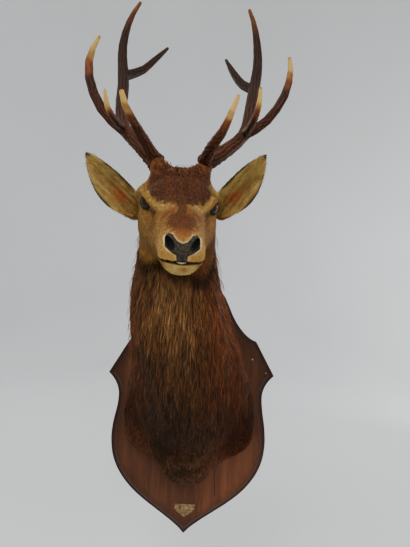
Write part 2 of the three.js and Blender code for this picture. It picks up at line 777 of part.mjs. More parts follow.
// Adds one antler piece by piece, each cut clear of those before it; gives back the room they take.
function makeAntler(side) {
  const { beam, trezFork, topFork, tines } = ANTLERS[side];
  const curve = curveThrough(beam.points);
  const halfGap = GAP / 2 / curve.getLength();
  let taken = makeBurr(curve, GAP);
  add(`antler_${side}_burr`, makeBurr(curve), MATERIALS.antler);

  const place = (piece, line, radiusAt, span) => {
    const parts = tube(line, radiusAt, span).subtract(taken).decompose();
    parts.sort((a, b) => b.volume() - a.volume());
    add(`antler_${side}_${piece}`, parts[0], MATERIALS.antler);
    return tube(line, radiusAt, { ...span, grow: GAP });
  };
  const lengths = [
    ['beam_lower', { from: 0, to: trezFork - halfGap, steps: 7 }],
    ['beam_upper', { from: trezFork + halfGap, to: topFork - halfGap, steps: 5 }],
    ['crown_front', { from: topFork + halfGap, to: 1, steps: 7 }],
  ];
  const beamRoom = lengths.map(([piece, span]) => place(piece, curve, radiusThrough(beam.radii), span));
  for (const room of beamRoom) taken = taken.add(room);
  for (const [piece, { points, radii }] of Object.entries(tines)) {
    taken = taken.add(place(piece, curveThrough(points), radiusThrough(radii), { steps: 7 }));
  }
  return taken;
}

// ---------------------------------------------------------------- assembly

// Keeps the part of a solid on the side of a plane that its normal points to.
function keepSide(solid, through, normal) {
  const reach = 1600;
  const turn = new THREE.Quaternion().setFromUnitVectors(new THREE.Vector3(0, 0, 1), normal);
  const block = new THREE.BoxGeometry(reach, reach, reach).translate(0, 0, reach / 2);
  block.applyQuaternion(turn).translate(through.x, through.y, through.z);
  return solid.intersect(toSolid(block));
}

// Parts a solid with a thin cut across the plane through a front and a nape point.
function partAcross(solid, { front: [frontY, frontZ], nape: [napeY, napeZ] }) {
  const through = new THREE.Vector3(0, frontY, frontZ);
  const normal = new THREE.Vector3(0, frontZ - napeZ, napeY - frontY).normalize();
  const ahead = through.clone().addScaledVector(normal, GAP / 2);
  const behind = through.clone().addScaledVector(normal, -GAP / 2);
  return [keepSide(solid, ahead, normal), keepSide(solid, behind, normal.clone().negate())];
}

add('board', makeBoard(), MATERIALS.wood);
add('hanger_strap', makeHanger(), MATERIALS.iron);
screwHeights().forEach((z, i) => add(`hanger_screw_${i + 1}`, makeScrew(z), MATERIALS.iron));
add('label_plate', makePlate(), MATERIALS.brass);
for (const [side, place] of Object.entries(pinPlaces())) {
  add(`label_pin_${side}`, makePin(place), MATERIALS.brass);
}

let flesh = makeNeckAndChest().add(makeSkull());
for (const side of Object.values(SIDES)) {
  flesh = flesh.add(makeStub(PEDICLE, side)).add(makeStub(EAR_ROOT, side));
}
for (const [name, side] of Object.entries(SIDES)) {
  flesh = flesh.subtract(makeAntler(name));
  flesh = flesh.subtract(makeEar(name, GAP));
  flesh = flesh.subtract(eyeBall(side, EYE.radius + GAP));
  add(`ear_${name}`, makeEar(name), MATERIALS.earCoat);
  add(`eye_${name}`, eyeBall(side, EYE.radius), MATERIALS.eye);
}

const nose = flesh.intersect(faceBlock(NOSE_OUTLINE)).subtract(nostril(1)).subtract(nostril(-1));
flesh = flesh.subtract(faceBlock(NOSE_OUTLINE, GAP));
add('nose_leather', nose, MATERIALS.leather);

const [neckUp, chest] = partAcross(flesh, CHEST_TOP);
const [headAll, neck] = partAcross(neckUp, NECK_TOP);
add('chest', chest, MATERIALS.mane);
add('neck', neck, MATERIALS.mane);

const jaws = headAll.subtract(mouthCut()).decompose().sort((a, b) => b.volume() - a.volume());
add('head', jaws[0], MATERIALS.coat);
add('lower_jaw', jaws[1].subtract(makeTeeth(GAP)), MATERIALS.chin);
add('incisors', makeTeeth(0), MATERIALS.tooth);

export default model;
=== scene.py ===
"""Looks of a red deer shoulder mount on its shield board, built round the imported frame.

The frame is in metres: +Z is up, the stag looks along -Y and the board's back lies in y = 0.
Places on the head are given as [out, ahead, up] in millimetres from the point between the eyes.
"""

import math
from contextlib import contextmanager

import bmesh
import bpy
import numpy as np
from mathutils import Matrix, Vector
from mathutils.bvhtree import BVHTree
from mathutils.geometry import delaunay_2d_cdt


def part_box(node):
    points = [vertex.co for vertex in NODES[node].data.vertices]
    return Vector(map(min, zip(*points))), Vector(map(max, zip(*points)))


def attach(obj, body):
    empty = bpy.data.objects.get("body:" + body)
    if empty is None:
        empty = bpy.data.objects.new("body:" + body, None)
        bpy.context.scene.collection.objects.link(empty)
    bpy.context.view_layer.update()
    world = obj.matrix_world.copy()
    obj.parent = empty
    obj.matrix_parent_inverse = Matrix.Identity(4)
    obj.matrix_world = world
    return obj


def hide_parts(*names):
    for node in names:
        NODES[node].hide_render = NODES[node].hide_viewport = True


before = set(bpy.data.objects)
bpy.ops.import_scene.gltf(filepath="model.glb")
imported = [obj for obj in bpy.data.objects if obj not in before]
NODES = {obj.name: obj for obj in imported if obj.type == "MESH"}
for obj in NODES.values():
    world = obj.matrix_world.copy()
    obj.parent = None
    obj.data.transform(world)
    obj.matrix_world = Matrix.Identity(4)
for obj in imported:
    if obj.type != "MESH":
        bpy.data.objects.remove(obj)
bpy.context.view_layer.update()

MM = 0.001
SIDES = {"left": 1, "right": -1}
FLESH = ["chest", "neck", "head", "lower_jaw"]

# ---- driving sizes, in millimetres

HEAD_PITCH, HEAD_YAW, HEAD_ROLL = 24.5, 6.3, 0.8  # degrees: nose down, nose to the stag's left, tilt
HEAD_MIDDLE = -0.045  # metres: the ears lie on either side of this x
EYE = {"radius": 17.5, "out": 58.5, "ahead": -4.0, "up": 0.0, "cornea": 0.9, "sunk": 0.15}
PUPIL = {"long": 0.42, "high": 0.22, "iris": 0.72}  # shares of the eye's radius
EYE_GAZE = (0.82, 0.56, -0.09)
EYE_LENGTHWISE = (0.0, 1.0, -0.42)  # the eye's long axis runs forward and down
LID = {"half_length": 54.0, "upper": 27.0, "lower": 22.0, "thick": 1.9}  # the opening in degrees
EYE_REACH = 34.0  # how far from an eye's centre its lids count
TEAR_LINE = ((54.0, 40.0, -7.0), (46.0, 57.0, -17.0))
INNER_CORNER = ((63.0, 16.0, -3.0), (46.5, 56.0, -5.0))
OUTER_CORNER = ((70.0, -16.0, 7.0), (82.0, -44.0, 2.0))
DARK_LINES = ((TEAR_LINE, 3.4), (INNER_CORNER, 5.4), (OUTER_CORNER, 5.4))  # each with its reach
NOSTRIL = {"out": 20.0, "up": -6.0, "long": 9.4, "short": 5.9, "turn": 40.0, "deep": 14.0}
NOSE_BACK = 182.0  # the nose leather lies ahead of this
NOSE_OUTLINE = ((0, -3.5), (8, -1.5), (16, 4), (23, 4.5), (28, -1), (28, -10), (19, -15),
                (9.5, -19), (8, -27), (0, -28))
MOUTH = {"corner": 148.0, "corner_up": -38.0, "length": 67.0, "rise": 12.0 / 92.0,
         "open": 2.8, "drop": 0.6, "shut": 0.3}
EAR_ROOT = (82.0, -70.0, 8.0)
BODY_VOXEL, EAR_VOXEL, ANTLER_VOXEL = 4.4, 1.5, 1.6
# Rounds of smoothing: the whole body, the neck alone, after each refinement, and the other parts.
SMOOTHING = {"body": 14, "neck": 60, "first": 3, "second": 2, "ear": 10, "ear_root": 6, "antler": 7}
SOLID_GROW = 0.4  # closes the thin gaps between the solids before they are joined

COAT_DEPTH = {"muzzle": 0.8, "face": 2.2, "crown": 8.0, "mane": 12.0}
HAIR_LENGTH = {"muzzle": 4.0, "face": 9.0, "crown": 22.0, "mane": 40.0, "ear": 9.0}
LOCK_PROUD = 1.6  # how far a lock may stand out of the solids near the hem
LOCK_SUNK = 0.0008  # metres: how deep a lock's root sits in the skin
LOCK_RIDGE = 0.62  # height of a lock's middle ridge, as a share of its half width
SHADE_STATIONS = (0, 0.35, 1)  # where along a lock its shading changes
BODY_MIDDLE = (-0.02, -0.12, 0.2)  # metres: locks turn their ridge away from this place
TUFT_PATCH = 0.003  # size of one lock on the unwrap
# The unwrap: where the body's and the ears' islands start and how far they reach, as shares of it.
BODY_ISLAND = {"middle": 0.40, "half": 0.39, "low": 0.09, "tall": 0.86}
EAR_ISLANDS = {"middle": 0.905, "half": 0.085, "lows": (0.02, 0.51), "tall": 0.45}
# Each kind of lock: square millimetres of skin for one, whether it is held to the skin, how many
# go in one piece, and its width and shade from root to tip.
COATS = {
    "mane": {"seed": 51, "area": 6.4, "hug": True, "per_piece": 12000,
             "taper": (0.8, 1.0, 0.6), "shading": (0.42, 0.95, 1.3)},
    "face_coat": {"seed": 52, "area": 3.6, "hug": False, "per_piece": 18000,
                  "taper": (1.0, 0.7), "shading": (0.6, 1.0, 1.12)},
    "ear_coat": {"seed": 53, "area": 4.2, "hug": False, "per_piece": 18000,
                 "taper": (1.0, 0.7), "shading": (0.7, 1.0, 1.1)},
}
# Places in y, in metres, near the board's front face at -0.024: the last roots, the last hair,
# where roots that face the wall are dropped, and where locks stop following the skin.
HEM = {"roots": -0.0255, "hair": -0.0252, "facing_wall": -0.034, "follow": -0.045}

# The board's moulding: millimetres in from the outline, and how far in front of the back face.
MOULDING = ((0, 9.5), (1.2, 11.2), (3, 12.2), (6, 13.4), (10, 15.8), (13.5, 18.8), (16, 21.8),
            (17.2, 22.6), (17.8, 23.8), (19, 24.0))
# How dark the edge is painted at each distance in from the outline, and on the board's sides and back.
EDGE_DARKNESS = ((0, 1.0), (9, 0.9), (13, 0.6), (16, 0.7), (17.3, 1.0), (18, 0.5), (21, 0.15), (30, 0.0))
SIDE_DARKNESS = 0.45
GRID, GRID_CLEAR = 0.02, 0.03  # metres: the front's coarse grid, and how far in it starts
REBATE = {"half": 12.3, "deep": 3.6, "bottom": 317.7}  # for the hanger's strap, in the back


# ---- numbers and noise


def ease(low, high, value):
    """0 at low and 1 at high, with a smooth way between; high may be the lower of the two."""
    t = np.clip((value - low) / (high - low), 0.0, 1.0)
    return t * t * (3.0 - 2.0 * t)


def bell(distance, reach):
    return np.exp(-((distance / reach) ** 2))


def mixed(a, b, share):
    return a + (b - a) * share


def unit(vectors):
    return vectors / np.maximum(np.linalg.norm(vectors, axis=-1, keepdims=True), 1e-9)


def waves(points, size, seed, tall=1.0, count=9):
    """Smooth noise from -1 to 1, about size metres long; a tall below 1 draws it out upwards."""
    rng = np.random.default_rng(seed)
    places = points * (1, 1, tall)
    total = np.zeros(len(points))
    for direction in unit(rng.normal(size=(count, 3))):
        length = size * rng.uniform(0.6, 1.6)
        total += np.sin(places @ direction * (2 * math.pi / length) + rng.uniform(0, 2 * math.pi))
    return np.clip(total / math.sqrt(count), -1.6, 1.6) / 1.6


def colour(red, green, blue):
    """Linear colour from the usual 0 to 255 values."""
    values = np.array((red, green, blue)) / 255.0
    return np.where(values <= 0.04045, values / 12.92, ((values + 0.055) / 1.055) ** 2.4)


def layered(base, *layers):
    """The base with each (tone, share) of the layers laid over it in turn."""
    for tone, share in layers:
        base = base + (tone - base) * np.clip(share, 0.0, 1.0)[:, None]
    return base


def from_segment(points, start, end):
    """Each point's offset from a straight line's nearest place, and that place's share of it."""
    along = end - start
    share = np.clip((points - start) @ along / (along @ along), 0, 1)
    return points - start - share[:, None] * along, share


def outline_distance(places, outline, closed=True):
    """Distance of each flat place from the outline."""
    nearest = np.full(len(places), 1e9)
    ends = np.roll(outline, -1, axis=0)
    for start, end in list(zip(outline, ends))[: None if closed else -1]:
        away, _ = from_segment(places, start, end)
        nearest = np.minimum(nearest, np.linalg.norm(away, axis=1))
    return nearest


def is_within(places, outline):
    """Whether each flat place is inside the outline, by counting the edges to one side of it."""
    within = np.zeros(len(places), bool)
    for (x0, z0), (x1, z1) in zip(outline, np.roll(outline, -1, axis=0)):
        spans = (z0 > places[:, 1]) != (z1 > places[:, 1])
        cross = x0 + (x1 - x0) * (places[:, 1] - z0) / (z1 - z0 if z1 != z0 else 1.0)
        within ^= spans & (places[:, 0] < cross)
    return within


def long_axes(points):
    """The middle of the points and the axes that they spread along, the longest first."""
    middle = points.mean(axis=0)
    return middle, np.linalg.svd(points - middle, full_matrices=False)[2]


# ---- head coordinates

HEAD_AXES = (
    Matrix.Rotation(math.radians(HEAD_YAW), 3, "Z")
    @ Matrix.Rotation(math.radians(HEAD_PITCH), 3, "X")
    @ Matrix.Rotation(math.radians(HEAD_ROLL), 3, "Y")
)
EYE_CENTRES = {side: sum(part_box(f"eye_{side}"), Vector()) / 2 for side in SIDES}
HEAD_ORIGIN = (EYE_CENTRES["left"] + EYE_CENTRES["right"]) / 2 - HEAD_AXES @ Vector(
    (0, -EYE["ahead"] * MM, EYE["up"] * MM)
)
TO_WORLD = np.array(HEAD_AXES)


def to_head(points):
    """[out, ahead, up] in millimetres of points of the frame."""
    return (points - np.array(HEAD_ORIGIN)) @ TO_WORLD / MM * (1, -1, 1)


def to_frame(places):
    """Points of the frame, in metres, from [out, ahead, up] in millimetres."""
    return (np.asarray(places, float) * (1, -1, 1) * MM) @ TO_WORLD.T + np.array(HEAD_ORIGIN)


def head_direction(out, ahead, up):
    return unit(TO_WORLD @ np.array((out, -ahead, up), float))


# ---- mesh tools


@contextmanager
def edited(mesh, source=None):
    """Opens the mesh, or the source, for editing, and writes the result to the mesh."""
    edit = bmesh.new()
    edit.from_mesh(source or mesh)
    edit.verts.ensure_lookup_table()
    yield edit
    edit.to_mesh(mesh)
    edit.free()


def link(name, mesh):
    mesh.shade_smooth()
    made = bpy.data.objects.new(name, mesh)
    bpy.context.scene.collection.objects.link(made)
    return made


def mesh_object(name, vertices, faces):
    mesh = bpy.data.meshes.new(name)
    mesh.from_pydata([tuple(v) for v in vertices], [], [tuple(f) for f in faces])
    mesh.validate()
    return link(name, mesh)


def read(items, key, size=3, kind=float):
    flat = np.empty(len(items) * size, kind)
    items.foreach_get(key, flat)
    return flat.reshape(-1, size)


def write(items, key, values, kind=np.float32):
    items.foreach_set(key, np.ascontiguousarray(values, kind).ravel())


def coords(mesh):
    return read(mesh.vertices, "co")


def head_coords(mesh):
    return to_head(coords(mesh))


def set_coords(mesh, points):
    write(mesh.vertices, "co", points)
    mesh.update()


def normals(mesh):
    return read(mesh.vertex_normals, "vector")


def triangles(mesh):
    mesh.calc_loop_triangles()
    return read(mesh.loop_triangles, "vertices", kind=np.int32)


def merge_near(mesh, distance=1e-5):
    with edited(mesh) as edit:
        bmesh.ops.remove_doubles(edit, verts=edit.verts, dist=distance)


def joined_solids(name, node_names, grow=SOLID_GROW):
    """One mesh object of copies of CAD nodes, each grown a little so that the gaps close."""
    mesh = bpy.data.meshes.new(name)
    with edited(mesh) as joined:
        for node in node_names:
            copy = NODES[node].data.copy()
            merge_near(copy)
            set_coords(copy, coords(copy) + normals(copy) * grow * MM)
            joined.from_mesh(copy)
            bpy.data.meshes.remove(copy)
    return link(name, mesh)


def apply_modifier(target, kind, **settings):
    modifier = target.modifiers.new(kind.title(), kind)
    for key, value in settings.items():
        setattr(modifier, key, value)
    graph = bpy.context.evaluated_depsgraph_get()
    mesh = bpy.data.meshes.new_from_object(target.evaluated_get(graph))
    target.modifiers.clear()
    target.data = mesh
    return target


def combine(target, operation, other, solver):
    apply_modifier(target, "BOOLEAN", operation=operation, object=other, solver=solver)
    bpy.data.objects.remove(other)


def remeshed(target, voxel):
    return apply_modifier(target, "REMESH", mode="VOXEL", voxel_size=voxel * MM, use_smooth_shade=True)


def smoothed(mesh, rounds, weight=1.0, pull=0.5):
    """Evens out a mesh; weight says how much each vertex takes part."""
    edges = read(mesh.edges, "vertices", 2, np.int32)
    start = np.concatenate([edges[:, 0], edges[:, 1]])
    end = np.concatenate([edges[:, 1], edges[:, 0]])
    points = coords(mesh)
    degree = np.maximum(np.bincount(start, minlength=len(points)), 1)
    share = np.broadcast_to(np.asarray(weight, float) * pull, (len(points),))
    for _ in range(rounds):
        for axis in range(3):
            mean = np.bincount(start, points[end, axis], len(points)) / degree
            points[:, axis] += share * (mean - points[:, axis])
    set_coords(mesh, points)


def refine(mesh, chosen):
    """Divides the edges between the chosen vertices once."""
    picked = set(np.flatnonzero(chosen).tolist())
    with edited(mesh) as edit:
        edges = [e for e in edit.edges if e.verts[0].index in picked and e.verts[1].index in picked]
        bmesh.ops.subdivide_edges(edit, edges=edges, cuts=1, use_grid_fill=True, smooth=0.0)


# ---- places on the head


def eye_measures(head, side):
    """Distance from the eye's centre, distance outside the lids' edge, and direction."""
    gaze = unit(np.array(EYE_GAZE) * (side, 1, 1))
    along = np.array(EYE_LENGTHWISE, float)
    along = unit(along - gaze * (along @ gaze))
    upright = np.cross(gaze, along)
    upright *= np.sign(upright[2])
    away = head - np.array((side * EYE["out"], EYE["ahead"], EYE["up"]))
    radius = np.linalg.norm(away, axis=1)
    ray = away / np.maximum(radius, 1e-6)[:, None]
    lengthwise = np.abs(np.degrees(np.arctan2(ray @ along, ray @ gaze)))
    height = np.degrees(np.arcsin(np.clip(ray @ upright, -1, 1)))
    share = np.clip(lengthwise / LID["half_length"], 0, 1)
    past_lid = np.abs(height) - np.where(height > 0, LID["upper"], LID["lower"]) * (1 - share**1.9)
    past_end = np.maximum(lengthwise - LID["half_length"], 0)
    open_here = (past_lid < 0) & (past_end == 0)
    outside = np.where(open_here, past_lid, np.hypot(past_lid, past_end))
    return radius, outside * EYE["radius"] * math.pi / 180.0, ray


def both_eyes_outside(head):
    """Distance outside the lids' edge of the nearer eye; large away from the eyes."""
    found = np.full(len(head), 99.0)
    for side in SIDES.values():
        radius, outside, _ = eye_measures(head, side)
        near = (radius < EYE_REACH) & (head[:, 0] * side > 20)
        found = np.where(near, np.minimum(found, outside), found)
    return found


def line_distance(head, start, end):
    """Distance to a line on the head that is there on both sides."""
    places = np.column_stack([np.abs(head[:, 0]), head[:, 1], head[:, 2]])
    away, _ = from_segment(places, np.array(start), np.array(end))
    return np.linalg.norm(away, axis=1)


def eye_surround(head):
    """Distance outside the eyes' openings and the dark lines at their inner corners."""
    inner = np.minimum(line_distance(head, *INNER_CORNER), line_distance(head, *TEAR_LINE)) - 2.0
    return np.minimum(both_eyes_outside(head), inner)


def nose_distance(head):
    """Distance outside the nose leather's outline, seen from the front; negative on the leather."""
    places = np.column_stack([np.abs(head[:, 0]), head[:, 2]])
    outline = np.array(NOSE_OUTLINE, float)
    distance = outline_distance(places, outline, closed=False)
    distance = np.where(is_within(places, outline), -distance, distance)
    return np.where(head[:, 1] > NOSE_BACK, distance, 99.0)


def nostril_measure(head):
    """0 in the middle of a nostril and 1 on its edge, seen from the front."""
    turn = math.radians(NOSTRIL["turn"])
    out = np.abs(head[:, 0]) - NOSTRIL["out"]
    up = head[:, 2] - NOSTRIL["up"]
    lengthwise = out * math.cos(turn) + up * math.sin(turn)
    across = -out * math.sin(turn) + up * math.cos(turn)
    measure = np.hypot(lengthwise / NOSTRIL["long"], across / NOSTRIL["short"])
    return np.where(head[:, 1] > NOSE_BACK, measure, 99.0)


def mouth_measures(head):
    """Height above the middle of the mouth line, half the opening, and 1 where the mouth is."""
    ahead = head[:, 1] - MOUTH["corner"]
    open_share = np.clip(ahead / MOUTH["length"], 0, 1)
    drop = MOUTH["drop"] * bell(head[:, 0], 11) * ease(0.6, 0.95, open_share)
    half_gap = MOUTH["shut"] + MOUTH["open"] / 2 * open_share**1.5 * bell(head[:, 0], 26) + drop
    height = head[:, 2] - (MOUTH["corner_up"] + MOUTH["rise"] * ahead) + MOUTH["open"] / 2 + drop
    return height, half_gap, ease(-8, 3, ahead)


def neck_share(head):
    """0 on the face and 1 on the neck and chest, which begin behind the ears and under the jaw."""
    sideways = np.maximum(np.abs(head[:, 0]) - 35, 0) * np.where(head[:, 0] < 0, 0.95, 0.45)
    behind = -(head[:, 1] + 125) - 0.67 * head[:, 2] - sideways
    return ease(-20, 5, behind)


def crown_share(head):
    """1 on the tuft between the antlers."""
    away = np.hypot(head[:, 0] / 62, (head[:, 1] + 95) / 62)
    return ease(1.15, 0.55, away) * ease(0, 30, head[:, 2])


def muzzle_share(head):
    """0 on the face and 1 on the muzzle."""
    return ease(95, 175, head[:, 1])


# ---- skin


def coat_depth(head):
    """How deep the hair is at each place, in millimetres."""
    depth = mixed(COAT_DEPTH["face"], COAT_DEPTH["muzzle"], muzzle_share(head))
    depth = mixed(depth, COAT_DEPTH["crown"], crown_share(head))
    depth = mixed(depth, COAT_DEPTH["mane"], neck_share(head))
    return depth * ease(2, 9, both_eyes_outside(head))


def sink_by_coat(mesh):
    """Draws the skin in by the coat's depth, so that the hair's tips reach the solids' surface."""
    points = coords(mesh)
    shift = -normals(mesh) * (coat_depth(to_head(points)) * MM)[:, None]
    shift[:, 1] *= ease(-0.026, -0.06, points[:, 1])
    set_coords(mesh, points + shift)


def sculpt_lids(points, head):
    """The points, with those round the eyes drawn over the eyeballs as lids and opened between."""
    for side in SIDES.values():
        centre = to_frame([(side * EYE["out"], EYE["ahead"], EYE["up"])])[0]
        radius, outside, ray = eye_measures(head, side)
        near = (radius < 40) & (head[:, 0] * side > 25) & (head[:, 1] > -40)
        lid = EYE["radius"] + LID["thick"] - 0.9 * bell(outside - 6.5, 1.6)
        shaped = mixed(radius, lid, ease(13.0, 3.0, outside))
        shaped = np.maximum(shaped, EYE["radius"] + 1.1)
        shaped = mixed(shaped, EYE["radius"] - 3.2, ease(0.3, -1.2, outside))
        target = centre + (ray * (1, -1, 1)) @ TO_WORLD.T * shaped[:, None] * MM
        points = np.where(near[:, None], target, points)
    return points


def sculpt_face(mesh):
    """Lids, tear lines, nostrils, lips and the hollows of the face."""
    outward = normals(mesh)
    moved = sculpt_lids(coords(mesh), head_coords(mesh))
    head = to_head(moved)
    push = 2.6 * bell(line_distance(head, *TEAR_LINE), 2.6)
    push = push * ease(0.5, 3.0, both_eyes_outside(head))
    height, half_gap, here = mouth_measures(head)
    lips = ease(half_gap + 1.3, half_gap, np.abs(height)) * here
    push += lips * (3.0 + 10.0 * bell(head[:, 0], 22) * ease(185, 203, head[:, 1]))
    push -= 0.9 * here * bell(np.abs(height) - half_gap - 3.2, 1.8)
    hole = ease(1.08, 0.55, nostril_measure(head)) * NOSTRIL["deep"]
    rim = bell(nostril_measure(head) - 1.3, 0.28) * 0.9
    moved -= outward * (push * MM)[:, None]
    moved -= head_direction(0, 1, 0) * (hole * MM)[:, None]
    moved += outward * (rim * MM)[:, None]
    set_coords(mesh, moved)


def make_body_skin():
    body = remeshed(joined_solids("skin", [*FLESH, "nose_leather", "eye_left", "eye_right"]), BODY_VOXEL)
    mesh = body.data
    on_neck = neck_share(head_coords(mesh))
    smoothed(mesh, SMOOTHING["body"])
    smoothed(mesh, SMOOTHING["neck"], on_neck * ease(-0.05, -0.12, coords(mesh)[:, 1]))
    sink_by_coat(mesh)
    head = head_coords(mesh)
    before_ears, above_throat = head[:, 1] > -45, head[:, 1] + head[:, 2] > -95
    refine(mesh, before_ears & above_throat & (head[:, 2] > -120))
    smoothed(mesh, SMOOTHING["first"])
    head = head_coords(mesh)
    height, _, here = mouth_measures(head)
    near_mouth = (np.abs(height) < 7) & (here > 0) & (head[:, 1] < 240)
    near_nose = (head[:, 1] > 178) & (head[:, 2] > -46)
    refine(mesh, (both_eyes_outside(head) < 15) | near_nose | near_mouth)
    smoothed(mesh, SMOOTHING["second"])
    sculpt_face(mesh)
    return body


def make_skin():
    """One skin of the body and both ears, in one piece."""
    skin = make_body_skin()
    for side in SIDES:
        ear = remeshed(joined_solids(f"ear_skin_{side}", [f"ear_{side}"]), EAR_VOXEL)
        smoothed(ear.data, SMOOTHING["ear"])
        combine(skin, "UNION", ear, "MANIFOLD")
    head = head_coords(skin.data)
    roots = (np.array(EAR_ROOT) * (side, 1, 1) for side in SIDES.values())
    near_ear = sum(bell(np.linalg.norm(head - root, axis=1), 26) for root in roots)
    smoothed(skin.data, SMOOTHING["ear_root"], np.clip(near_ear, 0, 1))
    skin.data.shade_smooth()
    return skin


class EarShape:
    """An ear's own frame, from its solid: along to the tip, across, and towards its open side."""

    def __init__(self, side):
        points = coords(NODES[f"ear_{side}"].data)
        self.middle, axes = long_axes(points)
        self.along = axes[0] * np.sign(axes[0][2])
        self.open_side = axes[2] * -np.sign(axes[2][1])
        self.across = np.cross(self.open_side, self.along)
        reach = (points - self.middle) @ self.along
        self.start, self.length = reach.min(), reach.max() - reach.min()
        self.side = SIDES[side]
        share, across, _ = self.measures(points)
        self.rows = np.linspace(0, 1, 12)
        near = [across[np.abs(share - row) < 0.09] for row in self.rows]
        self.low = np.array([values.min() for values in near])
        self.high = np.array([values.max() for values in near])

    def measures(self, points):
        """Share of the way to the tip, millimetres across the ear, and millimetres in front of it."""
        away = points - self.middle
        share = (away @ self.along - self.start) / self.length
        return share, away @ self.across / MM, away @ self.open_side / MM

    def edge_share(self, points):
        """0 on the ear's middle line, 1 at its front edge and -1 at its back edge."""
        share, across, _ = self.measures(points)
        low, high = np.interp(share, self.rows, self.low), np.interp(share, self.rows, self.high)
        return 2 * (across - low) / (high - low) - 1

    def rim_share(self, points):
        """1 at the ear's edges and tip, 0 inside them."""
        edges = ease(0.6, 0.95, np.abs(self.edge_share(points)))
        return np.maximum(edges, ease(0.75, 0.98, self.measures(points)[0]))

    def has(self, points):
        return points[:, 0] * self.side > HEAD_MIDDLE * self.side


EARS = {side: EarShape(side) for side in SIDES}


def ear_share(points):
    """1 on the ears, 0 elsewhere."""
    found = np.zeros(len(points))
    for ear in EARS.values():
        share, across, front = ear.measures(points)
        near = (np.abs(across) < 48) & (np.abs(front) < 34) & (points[:, 0] * ear.side > -0.2)
        found = np.maximum(found, ease(0.10, 0.22, share) * near)
    return found


# ---- markings

DARK_BROWN = colour(50, 31, 18)
MID_BROWN = colour(92, 58, 30)
RED_BROWN = colour(126, 60, 28)
OCHRE = colour(154, 109, 51)
TAN = colour(174, 131, 64)
PALE_TAN = colour(196, 160, 86)
CREAM = colour(222, 204, 150)
SOOT = colour(26, 18, 13)
CAP_BROWN = colour(104, 60, 35)
EAR_RED = colour(152, 68, 36)
EAR_PALE = colour(180, 152, 84)
EAR_OLIVE = colour(122, 88, 44)

# How light the neck and chest are at each height, in metres: painted light and shade, with a painted
# shadow across the chest at 0.02.
BODY_HEIGHTS = (-0.2, -0.13, -0.08, -0.03, 0.02, 0.08, 0.14, 0.2, 0.3, 0.42)
BODY_LIGHT_AND_SHADE = (1.75, 1.75, 1.4, 0.95, 0.56, 0.84, 1.1, 1.25, 1.95, 1.65)


def near_hem(points):
    """1 on the short calm fur of the lower chest, 0 on the neck."""
    return ease(0.03, -0.05, points[:, 2])


def body_colour(points):
    """The neck and chest: dark brown with red lights, ochre at the throat, redder on the left, and
    painted light and shade.
    """
    across = points[:, 0] + 0.043 * ease(0.06, 0.36, points[:, 2])
    redder = ease(0.0, 0.11, across) * 0.7 + ease(-0.075, -0.115, across) * 0.35
    throat = bell(across, 0.045) * bell(points[:, 2] - 0.30, 0.10) * ease(-0.12, -0.2, points[:, 1])
    streaks, patches = waves(points, 0.018, 11, 0.28), waves(points, 0.11, 12)
    base = layered(
        MID_BROWN,
        (DARK_BROWN, 0.40 + 0.45 * streaks + 0.3 * patches),
        (RED_BROWN, redder * (0.6 + 0.4 * waves(points, 0.02, 13, 0.2))),
        (colour(150, 112, 68), throat * (0.38 + 0.28 * waves(points, 0.016, 14, 0.15))),
    )
    # Painted light and shade by height, and lit clumps of fur with painted shade between them.
    clump_shading = 0.8 * waves(points, 0.03, 15, 0.4) + 0.8 * waves(points, 0.009, 16, 0.25)
    contrast = 0.28 - 0.14 * near_hem(points)
    light = np.interp(points[:, 2], BODY_HEIGHTS, BODY_LIGHT_AND_SHADE) * np.exp(contrast * clump_shading)
    # A painted shadow along the hem, where the fur meets the board.
    light *= 0.2 + 0.8 * ease(-0.027, -0.047, points[:, 1])
    return base * light[:, None]


def cap_edge(out, grain):
    """How far ahead of the eyes the dark cap reaches, at a distance out from the middle."""
    return 84 - 0.024 * out**2 + 5 * grain


